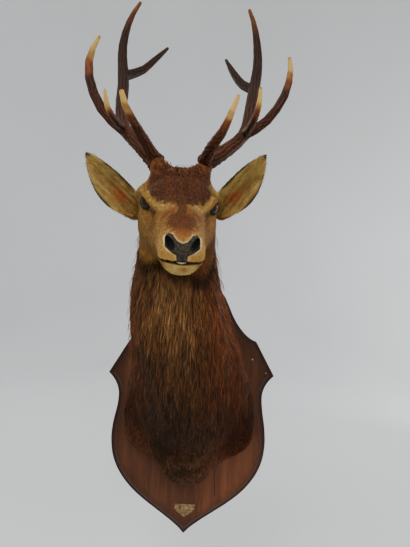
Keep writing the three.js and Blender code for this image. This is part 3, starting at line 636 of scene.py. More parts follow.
def face_colour(points, head):
    """Ochre face, dark cap, nose stripe and patch, pale lips, a painted brow highlight and painted shade
    by the eyes.
    """
    out, ahead, up = np.abs(head[:, 0]), head[:, 1], head[:, 2]
    grain, fleck = waves(points, 0.014, 21), waves(points, 0.0055, 22)
    top = ease(-12, 2, up)
    left = ease(10, 45, head[:, 0])
    jowl = left * ease(-56, -82, up) * ease(178, 135, ahead)
    # Painted shade in the hollow of the face before each eye.
    hollow = bell(out - 46, 14) * bell(ahead - 62, 26) * ease(-44, -20, up) * ease(10, -4, up)
    edge = cap_edge(out, grain + 0.6 * fleck)
    cap = ease(5, -5, ahead - edge) * ease(70, 60, out + 3 * grain) * ease(2, 12, up)
    cap_tone = layered(
        CAP_BROWN,
        (DARK_BROWN, 0.4 + 0.5 * grain + 0.3 * fleck),
        (colour(128, 72, 38), 0.45 * ease(0.0, 0.9, waves(points, 0.009, 23))),
    )
    # A painted highlight: the pale band along the brow ridge, just ahead of the cap.
    brow = bell(ahead - edge - 10, 9) * ease(8, 34, out) * ease(-4, 8, up)
    pedicle = bell(np.hypot(out - 56, ahead + 88), 20) * ease(6, 24, up)
    streak = ease(8, 13, out) * ease(40, 32, out) * bell(ahead - 106, 13) * top
    stripe = ease(12, 6, out + 2 * fleck) * ease(66, 78, ahead) * ease(128, 112, ahead)
    patch_half = 26 - 0.0095 * (ahead - 144) ** 2 + 4 * grain + 2 * fleck
    patch = ease(8, -7, out - patch_half) * ease(106, 126, ahead) * top
    base = layered(
        TAN,
        (OCHRE, 0.45 + 0.45 * grain + 0.3 * fleck),
        (colour(168, 106, 50), left * (0.35 + 0.3 * grain) * ease(150, 60, ahead)),
        (colour(98, 64, 31), 0.36 * ease(0.0, 1.0, fleck + 0.6 * grain)),
        (colour(100, 60, 31), jowl * 0.75),
        (colour(110, 70, 34), hollow * 0.6),
        (cap_tone, cap),
        (PALE_TAN, brow * (0.7 + 0.3 * fleck)),
        (colour(150, 92, 42), pedicle * 0.55),
        (colour(122, 66, 33), streak * (0.8 + 0.2 * fleck)),
        (colour(92, 54, 30), stripe * top * 0.9),
        (colour(98, 53, 29), patch * ease(198, 164, ahead) * 0.95),
        (colour(140, 66, 36), bell(out, 11) * bell(ahead - 185, 10) * top * 0.7),
    )
    grizzle = 0.2 * fleck + 0.3 * waves(points, 0.0032, 24)
    grizzle = grizzle * (1 + 0.4 * cap) + 0.3 * cap * waves(points, 0.0075, 25)
    return muzzle_colour(base * np.exp(grizzle)[:, None], head, grain)


def muzzle_colour(base, head, grain):
    """Pale lips and chin, shaded jaw, the nose's pale rim, and the dark of lips, nose and eyes."""
    out, ahead, up = np.abs(head[:, 0]), head[:, 1], head[:, 2]
    height, half_gap, here = mouth_measures(head)
    upper_lip = ease(166, 190, ahead) * ease(0, -14, up) * ease(0, 3, height)
    below = ease(0, -3, height) * here
    chin = ease(160, 184, ahead) * below * ease(29, 20, out + 3 * grain)
    spot = chin * bell(head[:, 0] - 4, 8) * bell(up + 42, 6)
    jaw_shade = ease(160, 110, ahead) * ease(-92, -116, up) * ease(-20, 10, ahead)
    outside, measure = nose_distance(head), nostril_measure(head)
    rim = ease(2.0 + 0.7 * grain, 0.9, outside) * ease(-0.5, 0.4, outside)
    ring = ease(1.36, 1.16, measure) * ease(1.0, 1.08, measure) * ease(16, 24, out)
    rim = np.maximum(rim * (0.4 + 0.45 * ease(12, 22, out)), ring)
    lips = here * ease(half_gap + 2.6, half_gap + 0.8, np.abs(height + 0.4))
    under_lip = bell(height + half_gap + 1.6, 1.8) * bell(out - 17, 8) * here * ease(160, 185, ahead)
    return layered(
        base,
        (colour(184, 142, 70), upper_lip * (0.75 + 0.25 * grain)),
        (colour(96, 62, 34), below * ease(176, 150, ahead) * 0.7),
        (colour(122, 74, 36), below * ease(150, 176, ahead) * 0.6),
        (colour(212, 182, 102), chin * (0.8 + 0.2 * grain)),
        (colour(150, 88, 40), spot * 0.8),
        (colour(84, 54, 30), jaw_shade * 0.7),
        (CREAM, rim * 0.95),
        (SOOT, np.maximum(lips * 0.95, under_lip * (0.7 + 0.3 * grain))),
        (SOOT, ease(0.1, -1.0, outside) * 0.9),
        (colour(12, 9, 8), ease(1.04, 0.94, measure)),
        (SOOT, ease(5.6, 2.6, both_eyes_outside(head)) * 0.97),
        *((SOOT, bell(line_distance(head, *line), reach) * 0.9) for line, reach in DARK_LINES),
    )


def ear_colour(points, facing, base):
    """Pale olive hollows streaked with brown, a red patch near the root, painted shade deep in the
    hollows and a thin dark edge.
    """
    for ear in EARS.values():
        share, across, front = ear.measures(points)
        mine = ear.has(points) & (np.abs(across) < 52) & (np.abs(front) < 36)
        edge = ear.edge_share(points)
        flat = np.column_stack([across * MM, share * 0.012, np.zeros(len(points))])
        streaks, cloud = waves(flat, 0.007, 31), waves(points, 0.03, 32)
        hollow = layered(
            EAR_PALE,
            (EAR_OLIVE, 0.35 + 0.45 * streaks + 0.25 * cloud),
            (colour(104, 70, 34), bell(edge + 0.1, 0.35) * bell(share - 0.45, 0.3) * 0.6),
            (EAR_RED, bell(edge, 0.42) * bell(share - 0.3, 0.12) * (0.8 + 0.3 * streaks)),
        )
        # Painted shade deep in the hollow, along its middle near the root.
        hollow = hollow * (1 - 0.45 * bell(edge, 0.5) * ease(0.4, 0.0, share))[:, None]
        rim = np.maximum(ease(0.80, 0.90, np.abs(edge)), ease(0.91, 0.96, share))
        tone = layered(
            colour(112, 80, 44),
            (DARK_BROWN, 0.35 + 0.3 * cloud + 0.2 * streaks),
            (hollow, ease(-0.2, 0.25, facing @ ear.open_side)),
            (colour(32, 23, 15), rim * ease(0.15, 0.3, share) * 0.9),
        )
        root = ease(-0.12, 0.0, share) * ease(0.2, 0.1, share) * mine
        base = layered(base, (colour(128, 98, 50), root * 0.7), (tone, ease(0.06, 0.2, share) * mine))
    return base


def coat_colour(points, facing):
    """Colours of the skin and the coat at points on the skin, painted light and shade among them."""
    head = to_head(points)
    share = neck_share(head)
    # A painted shadow in the line under the jaw, where the face meets the neck.
    jaw_shadow = bell(share - 0.6, 0.4) * ease(-105, -60, head[:, 1])
    body, jaw_shadow_tone = body_colour(points), colour(36, 23, 14)
    base = layered(face_colour(points, head), (body, share), (jaw_shadow_tone, jaw_shadow * 0.85))
    return ear_colour(points, facing, base)


def paint(mesh, colours, name="Colouring"):
    """Keeps a colour, or one value as a grey, for each vertex."""
    if colours.ndim == 1:
        colours = np.repeat(colours[:, None], 3, axis=1)
    layer = mesh.color_attributes.new(name, "FLOAT_COLOR", "POINT")
    write(layer.data, "color", np.column_stack([np.clip(colours, 0, 1), np.ones(len(colours))]))


# ---- coat


def coat_flow(points, facing, head):
    """The lie of the coat: back along the head, down the neck, and out along the ears."""
    fall = head_direction(0, 0, -1) * ease(20, -60, head[:, 2])[:, None] * 0.6
    rise = head_direction(0, 0, 1) * (ease(-60, -110, head[:, 1]) * crown_share(head))[:, None]
    on_head = unit(head_direction(0, -1, 0.05) + fall + rise)
    outward = (points[:, :1] + 0.02) * (1, 0, 0)
    down = unit((0.0, 0.16, -1.0) + outward * 2.2 * ease(0.2, -0.1, points[:, 2])[:, None])
    weight = neck_share(head)[:, None]
    flow = on_head * (1 - weight) + down * weight
    ear_weight = ear_share(points)[:, None]
    along = np.zeros(points.shape)
    for ear in EARS.values():
        along = np.where(ear.has(points)[:, None], ear.along, along)
    flow = flow * (1 - ear_weight) + along * ear_weight
    sideways = unit(np.cross(facing, flow))
    curly = ease(cap_edge(np.abs(head[:, 0]), 0) + 8, 20, head[:, 1]) * ease(6, 16, head[:, 2])
    curl = 0.9 * np.maximum(crown_share(head), curly) * waves(points, 0.011, 43)
    drift = 0.11 * waves(points, 0.06, 41) + 0.06 * waves(points, 0.02, 42) + curl
    flow = flow + sideways * drift[:, None]
    return unit(flow - facing * np.sum(flow * facing, axis=1)[:, None])


def pick_roots(skin, density, rng):
    """Places spread evenly over the skin; density is tufts per square metre at each vertex."""
    points, facing, corners = coords(skin.data), normals(skin.data), triangles(skin.data)
    a, b, c = (points[corners[:, i]] for i in range(3))
    area = np.linalg.norm(np.cross(b - a, c - a), axis=1) / 2
    expected = np.cumsum(area * density[corners].mean(axis=1))
    count = int(expected[-1])
    chosen = np.searchsorted(expected, (np.arange(count) + rng.random(count)) * expected[-1] / count)
    chosen = corners[np.minimum(chosen, len(corners) - 1)]
    u, v = rng.random(count), rng.random(count)
    flip = u + v > 1
    u, v = np.where(flip, 1 - u, u), np.where(flip, 1 - v, v)
    weights = np.stack([1 - u - v, u, v], axis=1)[:, :, None]
    return (points[chosen] * weights).sum(axis=1), unit((facing[chosen] * weights).sum(axis=1))


def unwrap(points):
    """Each point's place on the unwrapped skin: round the spine, along it, and the ears apart."""
    spine = np.array([(0, 0.0, -0.05), (0, -0.06, 0.10), (-0.02, -0.17, 0.28), (-0.043, -0.26, 0.44)])
    spine = np.vstack([spine, to_frame([(0, -40, -30), (0, 225, -34)])])
    best = np.full(len(points), 1e9)
    along, around = np.zeros((2, len(points)))
    lengths = np.linalg.norm(np.diff(spine, axis=0), axis=1)
    starts = np.concatenate([[0], np.cumsum(lengths)[:-1]])
    for a, b, start, length in zip(spine[:-1], spine[1:], starts, lengths):
        axis = (b - a) / length
        reach = (points - a) @ axis
        away = points - (a + np.clip(reach, 0, length)[:, None] * axis)
        distance = np.linalg.norm(away, axis=1)
        angle = np.arctan2(away[:, 0], away @ unit(np.cross(axis, (1.0, 0, 0))))
        closer = distance < best
        best = np.where(closer, distance, best)
        along = np.where(closer, start + np.clip(reach, -0.1, length + 0.05), along)
        around = np.where(closer, angle, around)
    u = BODY_ISLAND["middle"] + BODY_ISLAND["half"] * around / math.pi
    v = BODY_ISLAND["low"] + BODY_ISLAND["tall"] * along / lengths.sum()
    for ear, low in zip(EARS.values(), EAR_ISLANDS["lows"]):
        share, across, _ = ear.measures(points)
        mine = (ear_share(points) > 0.5) & ear.has(points)
        aside = EAR_ISLANDS["half"] * np.clip(across / 45, -1, 1)
        u = np.where(mine, EAR_ISLANDS["middle"] + aside, u)
        v = np.where(mine, low + EAR_ISLANDS["tall"] * np.clip(share, 0, 1), v)
    return np.column_stack([u, v])


def search_tree(meshes):
    """A search tree over the faces of the meshes."""
    starts = np.cumsum([0] + [len(mesh.vertices) for mesh in meshes])
    faces = [triangles(mesh) + start for mesh, start in zip(meshes, starts)]
    points = np.vstack([coords(mesh) for mesh in meshes])
    return BVHTree.FromPolygons(points.tolist(), np.vstack(faces).tolist())


FLESH_TREE = search_tree([NODES[node].data for node in FLESH])


def held_in(points):
    """Draws points that stand too far out of the neck and chest solids back to their surface."""
    held = points.copy()
    allowed = (LOCK_PROUD + 6.5 * ease(-0.05, -0.14, points[:, 1])) * MM
    for i, point in enumerate(points):
        spot, normal, _, _ = FLESH_TREE.find_nearest(point)
        away = Vector(point) - spot
        if away.length > allowed[i] and away @ normal > -0.2 * away.length:
            held[i] = spot + away.normalized() * allowed[i]
    return held


def triangle_mesh(name, vertices, faces):
    mesh = bpy.data.meshes.new(name)
    mesh.vertices.add(len(vertices))
    mesh.loops.add(faces.size)
    mesh.polygons.add(len(faces))
    write(mesh.vertices, "co", vertices)
    write(mesh.loops, "vertex_index", faces, np.int32)
    write(mesh.polygons, "loop_start", np.arange(len(faces)) * 3, np.int32)
    mesh.update(calc_edges=True)
    return mesh


def lock_faces(rings):
    """Triangles of one three-sided lock: its sides, its tip and its closed root."""
    faces = []
    for j in range(rings - 1):
        for k in range(3):
            a, b = j * 3 + k, j * 3 + (k + 1) % 3
            faces += [(a, b, b + 3), (a, b + 3, a + 3)]
    last, tip = (rings - 1) * 3, rings * 3
    return np.array(faces + [(last + k, last + (k + 1) % 3, tip) for k in range(3)] + [(2, 1, 0)])


def arch(share):
    """How high a lock stands at a share of its length: soon up, and laid down at the tip."""
    return math.sin(math.pi * min(share * 0.72 + 0.04, 1.0)) ** 0.8


class Coat:
    """One kind of coat on the skin: tapered three-sided locks, made many at a time."""

    def __init__(self, skin, name, share):
        self.name, self.style = name, COATS[name]
        self.rng = np.random.default_rng(self.style["seed"])
        self.tree = search_tree([skin.data])
        self.roots, self.facing = pick_roots(skin, share / (self.style["area"] * MM * MM), self.rng)
        self.head = to_head(self.roots)

    def keep(self, chosen):
        """Drops the locks that aren't chosen."""
        self.roots, self.facing = self.roots[chosen], self.facing[chosen]
        self.head = to_head(self.roots)

    def vary(self, low, high):
        """A random factor for each lock."""
        return self.rng.uniform(low, high, len(self.roots))

    def near_skin(self, points, wanted_height):
        """Moves points along the skin's own normal to the wanted height above it."""
        placed = np.empty_like(points)
        for i, point in enumerate(points):
            spot, normal, _, _ = self.tree.find_nearest(point)
            placed[i] = spot + normal * wanted_height[i]
        return placed

    def paths(self, length, lift, rings):
        """Centre points of each lock from root to tip, as [lock, ring, xyz]."""
        flow = coat_flow(self.roots, self.facing, self.head)
        paths = np.empty((len(self.roots), rings + 1, 3))
        sideways = np.cross(self.facing, flow)
        wave = self.rng.normal(0, 0.05, len(self.roots))
        for j, share in enumerate(np.linspace(0, 1, rings + 1)):
            height = lift * arch(share) - LOCK_SUNK * (j == 0)
            bend = wave * length * share * share
            points = self.roots + flow * (length * share)[:, None] + sideways * bend[:, None]
            raised = points + self.facing * height[:, None]
            if self.style["hug"] and j > 0:
                free = points[:, 1] < HEM["follow"]
                raised[free] = self.near_skin(points[free], height[free])
                raised = held_in(raised)
            paths[:, j] = raised
        paths[:, :, 1] = np.minimum(paths[:, :, 1], HEM["hair"])
        return paths

    def tones(self, spread):
        """The skin's colours, painted light and shade included, a little lighter or warmer from lock to
        lock.
        """
        light = np.exp(self.rng.normal(0, spread, len(self.roots)))
        warm = self.rng.normal(0, 0.05, len(self.roots))
        tint = np.column_stack([1 + warm, np.ones(len(warm)), 1 - warm])
        return coat_colour(self.roots, self.facing) * light[:, None] * tint

    def grow(self, length, lift, width, width_range, spread, order):
        """The locks as mesh objects, in pieces small enough for one mesh each."""
        paths = self.paths(length, lift, len(self.style["taper"]))
        width = width * self.vary(*width_range) * MM
        tones, flat = self.tones(spread), unwrap(paths[:, 0])
        parts = np.array_split(np.argsort(order), math.ceil(len(order) / self.style["per_piece"]))
        return [self.build(f"{self.name}_{number}", paths[part], width[part], tones[part], flat[part])
                for number, part in enumerate(parts, 1)]

    def build(self, name, paths, width, tones, flat):
        """One mesh of locks along the paths, with their colours, painted light and shade included, and
        the OFBake map.
        """
        count, rings = len(paths), len(self.style["taper"])
        tangents = unit(np.gradient(paths, axis=1))
        up = unit(paths[:, 0] - np.array(BODY_MIDDLE))[:, None, :]
        across = unit(np.cross(tangents, up))
        outward = np.cross(across, tangents)[:, :rings]
        across, middle = across[:, :rings], paths[:, :rings]
        half = (width[:, None] / 2 * np.array(self.style["taper"]))[:, :, None]
        ring = np.stack([middle + across * half, middle - across * half,
                         middle + outward * (half * LOCK_RIDGE)], axis=2)
        vertices = np.concatenate([ring.reshape(count, rings * 3, 3), paths[:, rings:]], axis=1)
        first = np.arange(count) * vertices.shape[1]
        index = (lock_faces(rings)[None] + first[:, None, None]).reshape(-1, 3)
        mesh = triangle_mesh(name, vertices.reshape(-1, 3), index)
        shares = np.append(np.repeat(np.arange(rings) / rings, 3), 1.0)
        shade = np.interp(shares, SHADE_STATIONS, self.style["shading"])
        paint(mesh, (tones[:, None, :] * shade[None, :, None]).reshape(-1, 3))
        sides = np.append(np.tile((0.0, 1.0, 0.5), rings), 0.5)
        patch = np.column_stack([sides - 0.5, shares - 0.5]) * TUFT_PATCH
        places = (flat[:, None, :] + patch[None]).reshape(-1, 2)
        write(mesh.uv_layers.new(name="OFBake").data, "uv", places[index.ravel()])
        return link(name, mesh)


def bare_share(head):
    """1 where no hair grows: eyes, nose leather, nostrils and between the lips."""
    bare = ease(2.4, 1.2, eye_surround(head))
    bare = np.maximum(bare, ease(1.2, 0.2, nose_distance(head)))
    bare = np.maximum(bare, ease(1.3, 1.1, nostril_measure(head)))
    height, half_gap, here = mouth_measures(head)
    return np.maximum(bare, ease(half_gap + 2.2, half_gap + 1.2, np.abs(height)) * here)


def grow_mane(skin):
    """Long locks on the neck and chest, shorter near the hem, and the curly tuft of the crown."""
    points = coords(skin.data)
    head = to_head(points)
    share = np.maximum(neck_share(head), crown_share(head)) * (1 - ear_share(points))
    coat = Coat(skin, "mane", ease(0.12, 0.5, share * (points[:, 1] < HEM["roots"])))
    coat.keep(~((coat.roots[:, 1] > HEM["facing_wall"]) & (coat.facing[:, 1] > 0.2)))
    crown, neck, calm = crown_share(coat.head), neck_share(coat.head), near_hem(coat.roots)
    short = mixed(HAIR_LENGTH["face"], HAIR_LENGTH["crown"], crown)
    length = mixed(short, HAIR_LENGTH["mane"], neck**1.2) * coat.vary(0.65, 1.2) * MM
    length *= 0.35 + 0.65 * ease(-0.03, -0.08, coat.roots[:, 1])
    length *= 1 - 0.5 * calm
    lift = coat_depth(coat.head) * coat.vary(0.25, 1.05) ** 0.8 * MM
    lift *= np.where(coat.rng.random(len(lift)) < 0.05, 1.7, 1.0)
    width = 1.1 + 0.9 * np.maximum(neck, crown * 0.5)
    spread = 0.28 + 0.18 * crown - 0.17 * calm
    return coat.grow(length, lift, width, (0.65, 1.35), spread, coat.roots[:, 2])


def grow_face(skin):
    """Short hair on the face, finer and flatter towards the muzzle."""
    head = head_coords(skin.data)
    share = (1 - neck_share(head)) * (1 - ear_share(coords(skin.data))) * (1 - bare_share(head))
    coat = Coat(skin, "face_coat", ease(0.3, 0.6, share))
    fine = muzzle_share(coat.head)
    length = mixed(HAIR_LENGTH["face"], HAIR_LENGTH["muzzle"], fine)
    length = length * (1 + 1.1 * neck_share(coat.head)) * ease(-5, 12, eye_surround(coat.head))
    length = length * coat.vary(0.7, 1.25) * MM
    lift = (0.55 + 0.5 * (1 - fine)) * coat.vary(0.3, 1.3) * MM + coat_depth(coat.head) * 0.25 * MM
    return coat.grow(length, lift, 0.8 + 0.4 * (1 - fine), (0.7, 1.3), 0.25, coat.head[:, 1])


def grow_ears(skin):
    """Hair on the ears, longer inside them and shorter at their edges and tips."""
    coat = Coat(skin, "ear_coat", ease(0.4, 0.7, ear_share(coords(skin.data))))
    inside, rim = np.zeros((2, len(coat.roots)))
    for ear in EARS.values():
        mine = ear.has(coat.roots)
        inside = np.where(mine, ease(0.0, 0.25, coat.facing @ ear.open_side), inside)
        rim = np.where(mine, ear.rim_share(coat.roots), rim)
    length = HAIR_LENGTH["ear"] * (1 + 0.7 * inside) * coat.vary(0.7, 1.3) * MM
    length *= 1 - 0.6 * rim
    lift = (0.9 + 0.9 * inside) * (1 - 0.5 * rim) * coat.vary(0.2, 1.2) * MM
    return coat.grow(length, lift, 1.2, (0.7, 1.3), 0.2, coat.roots[:, 0])


# ---- materials


class Finish:
    """A node material. Constants go on the shader's own sockets; the rest is wired."""

    def __init__(self, name, **constants):
        self.material = bpy.data.materials.new(name)
        self.material.use_nodes = True
        self.tree = self.material.node_tree
        self.shader = self.tree.nodes["Principled BSDF"]
        for socket, value in constants.items():
            self.shader.inputs[socket.replace("_", " ")].default_value = value
        self.place = self.tree.nodes.new("ShaderNodeTexCoord").outputs["Object"]

    def node(self, kind, settings=None, **inputs):
        made = self.tree.nodes.new("ShaderNode" + kind)
        for key, value in (settings or {}).items():
            setattr(made, key, value)
        for key, value in inputs.items():
            self.feed(made.inputs[key], value)
        return made

    def feed(self, socket, value):
        if isinstance(value, bpy.types.NodeSocket):
            self.tree.links.new(value, socket)
        elif socket.type == "RGBA":
            socket.default_value = (*value, 1.0)
        else:
            socket.default_value = value

    def noise(self, scale, detail, stretch=(1, 1, 1), turn=(0, 0, 0), rough=0.55):
        places = self.node("Mapping", Vector=self.place, Scale=stretch, Rotation=turn).outputs[0]
        made = self.node("TexNoise", Vector=places, Scale=scale, Detail=detail, Roughness=rough)
        return made.outputs["Fac"]

    def cells(self, scale, feature="F1"):
        made = self.node("TexVoronoi", {"feature": feature}, Vector=self.place, Scale=scale)
        return made.outputs["Distance"]

    def attribute(self, name):
        return self.node("Attribute", {"attribute_name": name}).outputs["Color"]

    def ramp(self, value, *stops):
        """A colour for each value, from (value, colour) stops."""
        made = self.node("ValToRGB", Fac=value)
        elements = made.color_ramp.elements
        while len(elements) < len(stops):
            elements.new(0.5)
        for element, (position, tone) in zip(elements, stops):
            element.position = position
            element.color = (*tone, 1.0)
        return made.outputs["Color"]

    def between(self, value, low, high, to_low=0.0, to_high=1.0):
        made = self.node("MapRange", {"clamp": True}, Value=value)
        for number, setting in enumerate((low, high, to_low, to_high), 1):
            made.inputs[number].default_value = setting
        return made.outputs[0]

    def fed(self, made, *values):
        """The outputs of a node, once the (number, value) pairs are fed to its sockets."""
        for number, value in values:
            self.feed(made.inputs[number], value)
        return made.outputs

    def mix(self, share, a, b, mode="MIX"):
        made = self.node("Mix", {"data_type": "RGBA", "blend_type": mode})
        return self.fed(made, (0, share), (6, a), (7, b))[2]

    def maths(self, operation, *values):
        return self.fed(self.node("Math", {"operation": operation}), *enumerate(values))[0]

    def stained(self, tone, other, value, low, high, most=1.0):
        """The tone with another over it, none where the value is low and most where it is high."""
        return self.mix(self.between(value, low, high, 0.0, most), tone, other)

    def tinted(self, tone, factors, value, low, high, most):
        """The tone times the factors, none where the value is low and most where it is high."""
        return self.mix(self.between(value, low, high, 0.0, most), tone, factors, "MULTIPLY")

    def done(self, tone, rough=None, bump=None, rough_over=(0.3, 0.7)):
        """Wires the colour, the roughness (value, least, most) and bump (height, distance, strength)."""
        self.feed(self.shader.inputs["Base Color"], tone)
        if rough:
            value, *range_made = rough
            self.feed(self.shader.inputs["Roughness"], self.between(value, *rough_over, *range_made))
        if bump:
            height, distance, strength = bump
            made = self.node("Bump", Height=height, Distance=distance, Strength=strength)
            self.feed(self.shader.inputs["Normal"], made.outputs["Normal"])
        return self.material


HEAD_TURN = (math.radians(-HEAD_PITCH), 0, math.radians(-HEAD_YAW))


def hair_material():
    finish = Finish("coat_hair", Specular_IOR_Level=0.13)
    fleck = finish.noise(520, 3)
    tone = finish.tinted(finish.attribute("Colouring"), (0.5, 0.5, 0.5), fleck, 0.3, 0.7, 0.35)
    return finish.done(tone, (fleck, 0.5, 0.68))


def skin_material():
    finish = Finish("coat_skin", Specular_IOR_Level=0.1)
    hairs = finish.noise(900, 3, (1, 0.16, 1), HEAD_TURN)
    blotch = finish.noise(90, 4)
    tone = finish.tinted(finish.attribute("Colouring"), (0.42, 0.4, 0.38), hairs, 0.32, 0.68, 0.55)
    tone = finish.tinted(tone, (0.6, 0.5, 0.4), blotch, 0.35, 0.7, 0.18)
    return finish.done(tone, (hairs, 0.6, 0.8), (hairs, 0.0009, 0.9))


def antler_material():
    finish = Finish("antler_bone", Specular_IOR_Level=0.09)
    fine = finish.noise(420, 5)
    stain = finish.noise(46, 4)
    tone = finish.tinted(finish.attribute("Colouring"), (0.3, 0.24, 0.2), fine, 0.35, 0.7, 0.5)
    tone = finish.tinted(tone, (1.7, 1.35, 1.1), stain, 0.5, 0.75, 0.35)
    return finish.done(tone, (fine, 0.45, 0.68), (fine, 0.0006, 0.7))


def leather_material():
    """Black pebbled leather with fine cracks, darkest in the nostrils."""
    finish = Finish("nose_leather", Specular_IOR_Level=0.12)
    pebbles = finish.cells(620)
    cracks = finish.cells(620, "DISTANCE_TO_EDGE")
    tone = finish.ramp(finish.noise(260, 4), (0.35, colour(24, 21, 17)), (0.68, colour(66, 58, 45)))
    tone = finish.mix(finish.between(cracks, 0.0, 0.08, 0.75, 0.0), tone, colour(10, 8, 7))
    tone = finish.mix(finish.attribute("Hollow"), tone, colour(16, 13, 10))
    domes = finish.maths("MULTIPLY", pebbles, -1.0)
    return finish.done(tone, (pebbles, 0.42, 0.62), (domes, 0.0007, 0.9), rough_over=(0.0, 0.6))


def eye_material():
    finish = Finish("glass_eye", Roughness=0.05, IOR=1.45, Specular_IOR_Level=0.24)
    tone = finish.mix(finish.attribute("Colouring"), colour(7, 5, 5), colour(36, 21, 13))
    return finish.done(finish.tinted(tone, (0.4, 0.4, 0.45), finish.noise(700, 3), 0.4, 0.7, 0.5))


WOOD_CRACK = {"x": 0.0708, "slant": 0.05, "z": -0.2, "half": 0.042}
WOOD_SPECKS = ((0.169, -0.024, 0.144), (0.208, -0.022, 0.107))


def wood_material():
    """Dark stained wood: long grain, pores, a darker moulded edge, one crack, two pale specks and
    painted light low on the right.
    """
    finish = Finish("board_wood", Specular_IOR_Level=0.1)
    grain = finish.noise(38, 6, (1.0, 1.0, 0.06), rough=0.6)
    pores = finish.noise(420, 3, (1.0, 1.0, 0.03))
    cloud = finish.noise(7, 3, (1.0, 1.0, 0.35))
    tone = finish.ramp(grain, (0.30, colour(64, 38, 25)), (0.5, colour(82, 50, 33)),
                       (0.68, colour(98, 60, 39)))
    tone = finish.stained(tone, colour(66, 39, 26), cloud, 0.4, 0.7, 0.35)
    tone = finish.stained(tone, colour(24, 14, 9), pores, 0.56, 0.7, 0.6)
    tone = finish.mix(finish.attribute("Edge"), tone, colour(40, 21, 13))
    across, _, height = finish.node("SeparateXYZ", Vector=finish.place).outputs
    # Painted light: a paler pool towards the lower right of the front.
    low = finish.between(height, 0.1, -0.15)
    painted_light_patch = finish.maths("MULTIPLY", finish.between(across, 0.0, 0.09), low)
    tone = finish.mix(painted_light_patch, tone, finish.mix(1.0, tone, (1.5, 1.42, 1.36), "MULTIPLY"))
    tone = finish.mix(crack_share(finish, across, height), tone, colour(14, 8, 6))
    for speck in WOOD_SPECKS:
        measure = finish.node("VectorMath", {"operation": "DISTANCE"})
        away = finish.fed(measure, (0, finish.place), (1, speck))["Value"]
        tone = finish.mix(finish.between(away, 0.0012, 0.0022, 0.9, 0.0), tone, colour(196, 180, 160))
    relief = finish.maths("ADD", pores, finish.maths("MULTIPLY", grain, 0.6))
    return finish.done(tone, (grain, 0.38, 0.56), (relief, -0.0004, 0.6))


def crack_share(finish, across, height):
    """1 in the board's drying crack, which leans a little."""
    slant = finish.maths("MULTIPLY", height, WOOD_CRACK["slant"])
    aside = finish.maths("ADD", across, finish.maths("ADD", slant, -WOOD_CRACK["x"]))
    along = finish.maths("ABSOLUTE", finish.maths("ADD", height, -WOOD_CRACK["z"]))
    half = WOOD_CRACK["half"]
    run = finish.between(along, half, half + 0.005, 1.0, 0.0)
    thin = finish.between(finish.maths("ABSOLUTE", aside), 0.0004, 0.0010, 1.0, 0.0)
    return finish.maths("MULTIPLY", thin, run)


def brass_material():
    finish = Finish("worn_brass", Metallic=0.6)
    worn = finish.noise(120, 5)
    scratches = finish.noise(500, 3, (0.12, 1, 1))
    tone = finish.ramp(worn, (0.32, colour(70, 52, 30)), (0.52, colour(128, 102, 64)),
                       (0.7, colour(176, 150, 110)))
    return finish.done(tone, (worn, 0.34, 0.62), (scratches, 0.0002, 0.5))


def iron_material():
    finish = Finish("hanger_iron", Metallic=0.8)
    rust = finish.noise(150, 6)
    tone = finish.ramp(rust, (0.4, colour(52, 48, 46)), (0.62, colour(74, 58, 46)),
                       (0.72, colour(112, 66, 40)))
    return finish.done(tone, (rust, 0.42, 0.8), (rust, 0.0004, 0.7))


def tooth_material():
    finish = Finish("tooth_enamel", Specular_IOR_Level=0.6, Coat_Weight=0.3, Coat_Roughness=0.1)
    stain = finish.noise(300, 4, (1, 1, 0.4))
    tone = finish.ramp(stain, (0.35, colour(222, 210, 178)), (0.75, colour(186, 164, 116)))
    return finish.done(tone, (stain, 0.25, 0.45))


def paper_material(name, tone):
    finish = Finish(name, Roughness=0.9, Specular_IOR_Level=0.2)
    paler = np.minimum(tone * 1.03, 1)
    return finish.done(finish.ramp(finish.noise(0.7, 3), (0.3, tone * 0.96), (0.7, paler)))


def dress(target, material):
    """Gives the whole piece one material."""
    target.data.materials.clear()
    target.data.materials.append(material)


# ---- nose, eyes and antlers


def make_nose(skin):
    """The nose leather: the skin's own surface there, a little proud of it, with sunk edges."""
    mesh = bpy.data.meshes.new("nose")
    beyond = nose_distance(head_coords(skin.data)) > 2.0
    with edited(mesh, skin.data) as edit:
        doomed = [edit.verts[i] for i in np.flatnonzero(beyond)]
        bmesh.ops.delete(edit, geom=doomed, context="VERTS")
    for layer in [layer.name for layer in mesh.color_attributes]:
        mesh.color_attributes.remove(mesh.color_attributes[layer])
    nose = link("nose", mesh)
    points = coords(mesh)
    head = to_head(points)
    hollow = ease(1.05, 0.8, nostril_measure(head))
    pebble = 0.22 * waves(points, 0.0042, 61) + 0.14 * waves(points, 0.0026, 62)
    rise = -0.9 + 2.0 * ease(1.2, -1.6, nose_distance(head)) + pebble * (1 - hollow)
    groove = 0.8 * bell(head[:, 0], 1.6) * ease(-12, -20, head[:, 2])
    set_coords(mesh, points + normals(mesh) * ((rise - groove) * MM)[:, None])
    apply_modifier(nose, "SOLIDIFY", thickness=0.0022, offset=-1.0)
    paint(nose.data, ease(1.08, 0.8, nostril_measure(head_coords(nose.data))), "Hollow")
    return nose


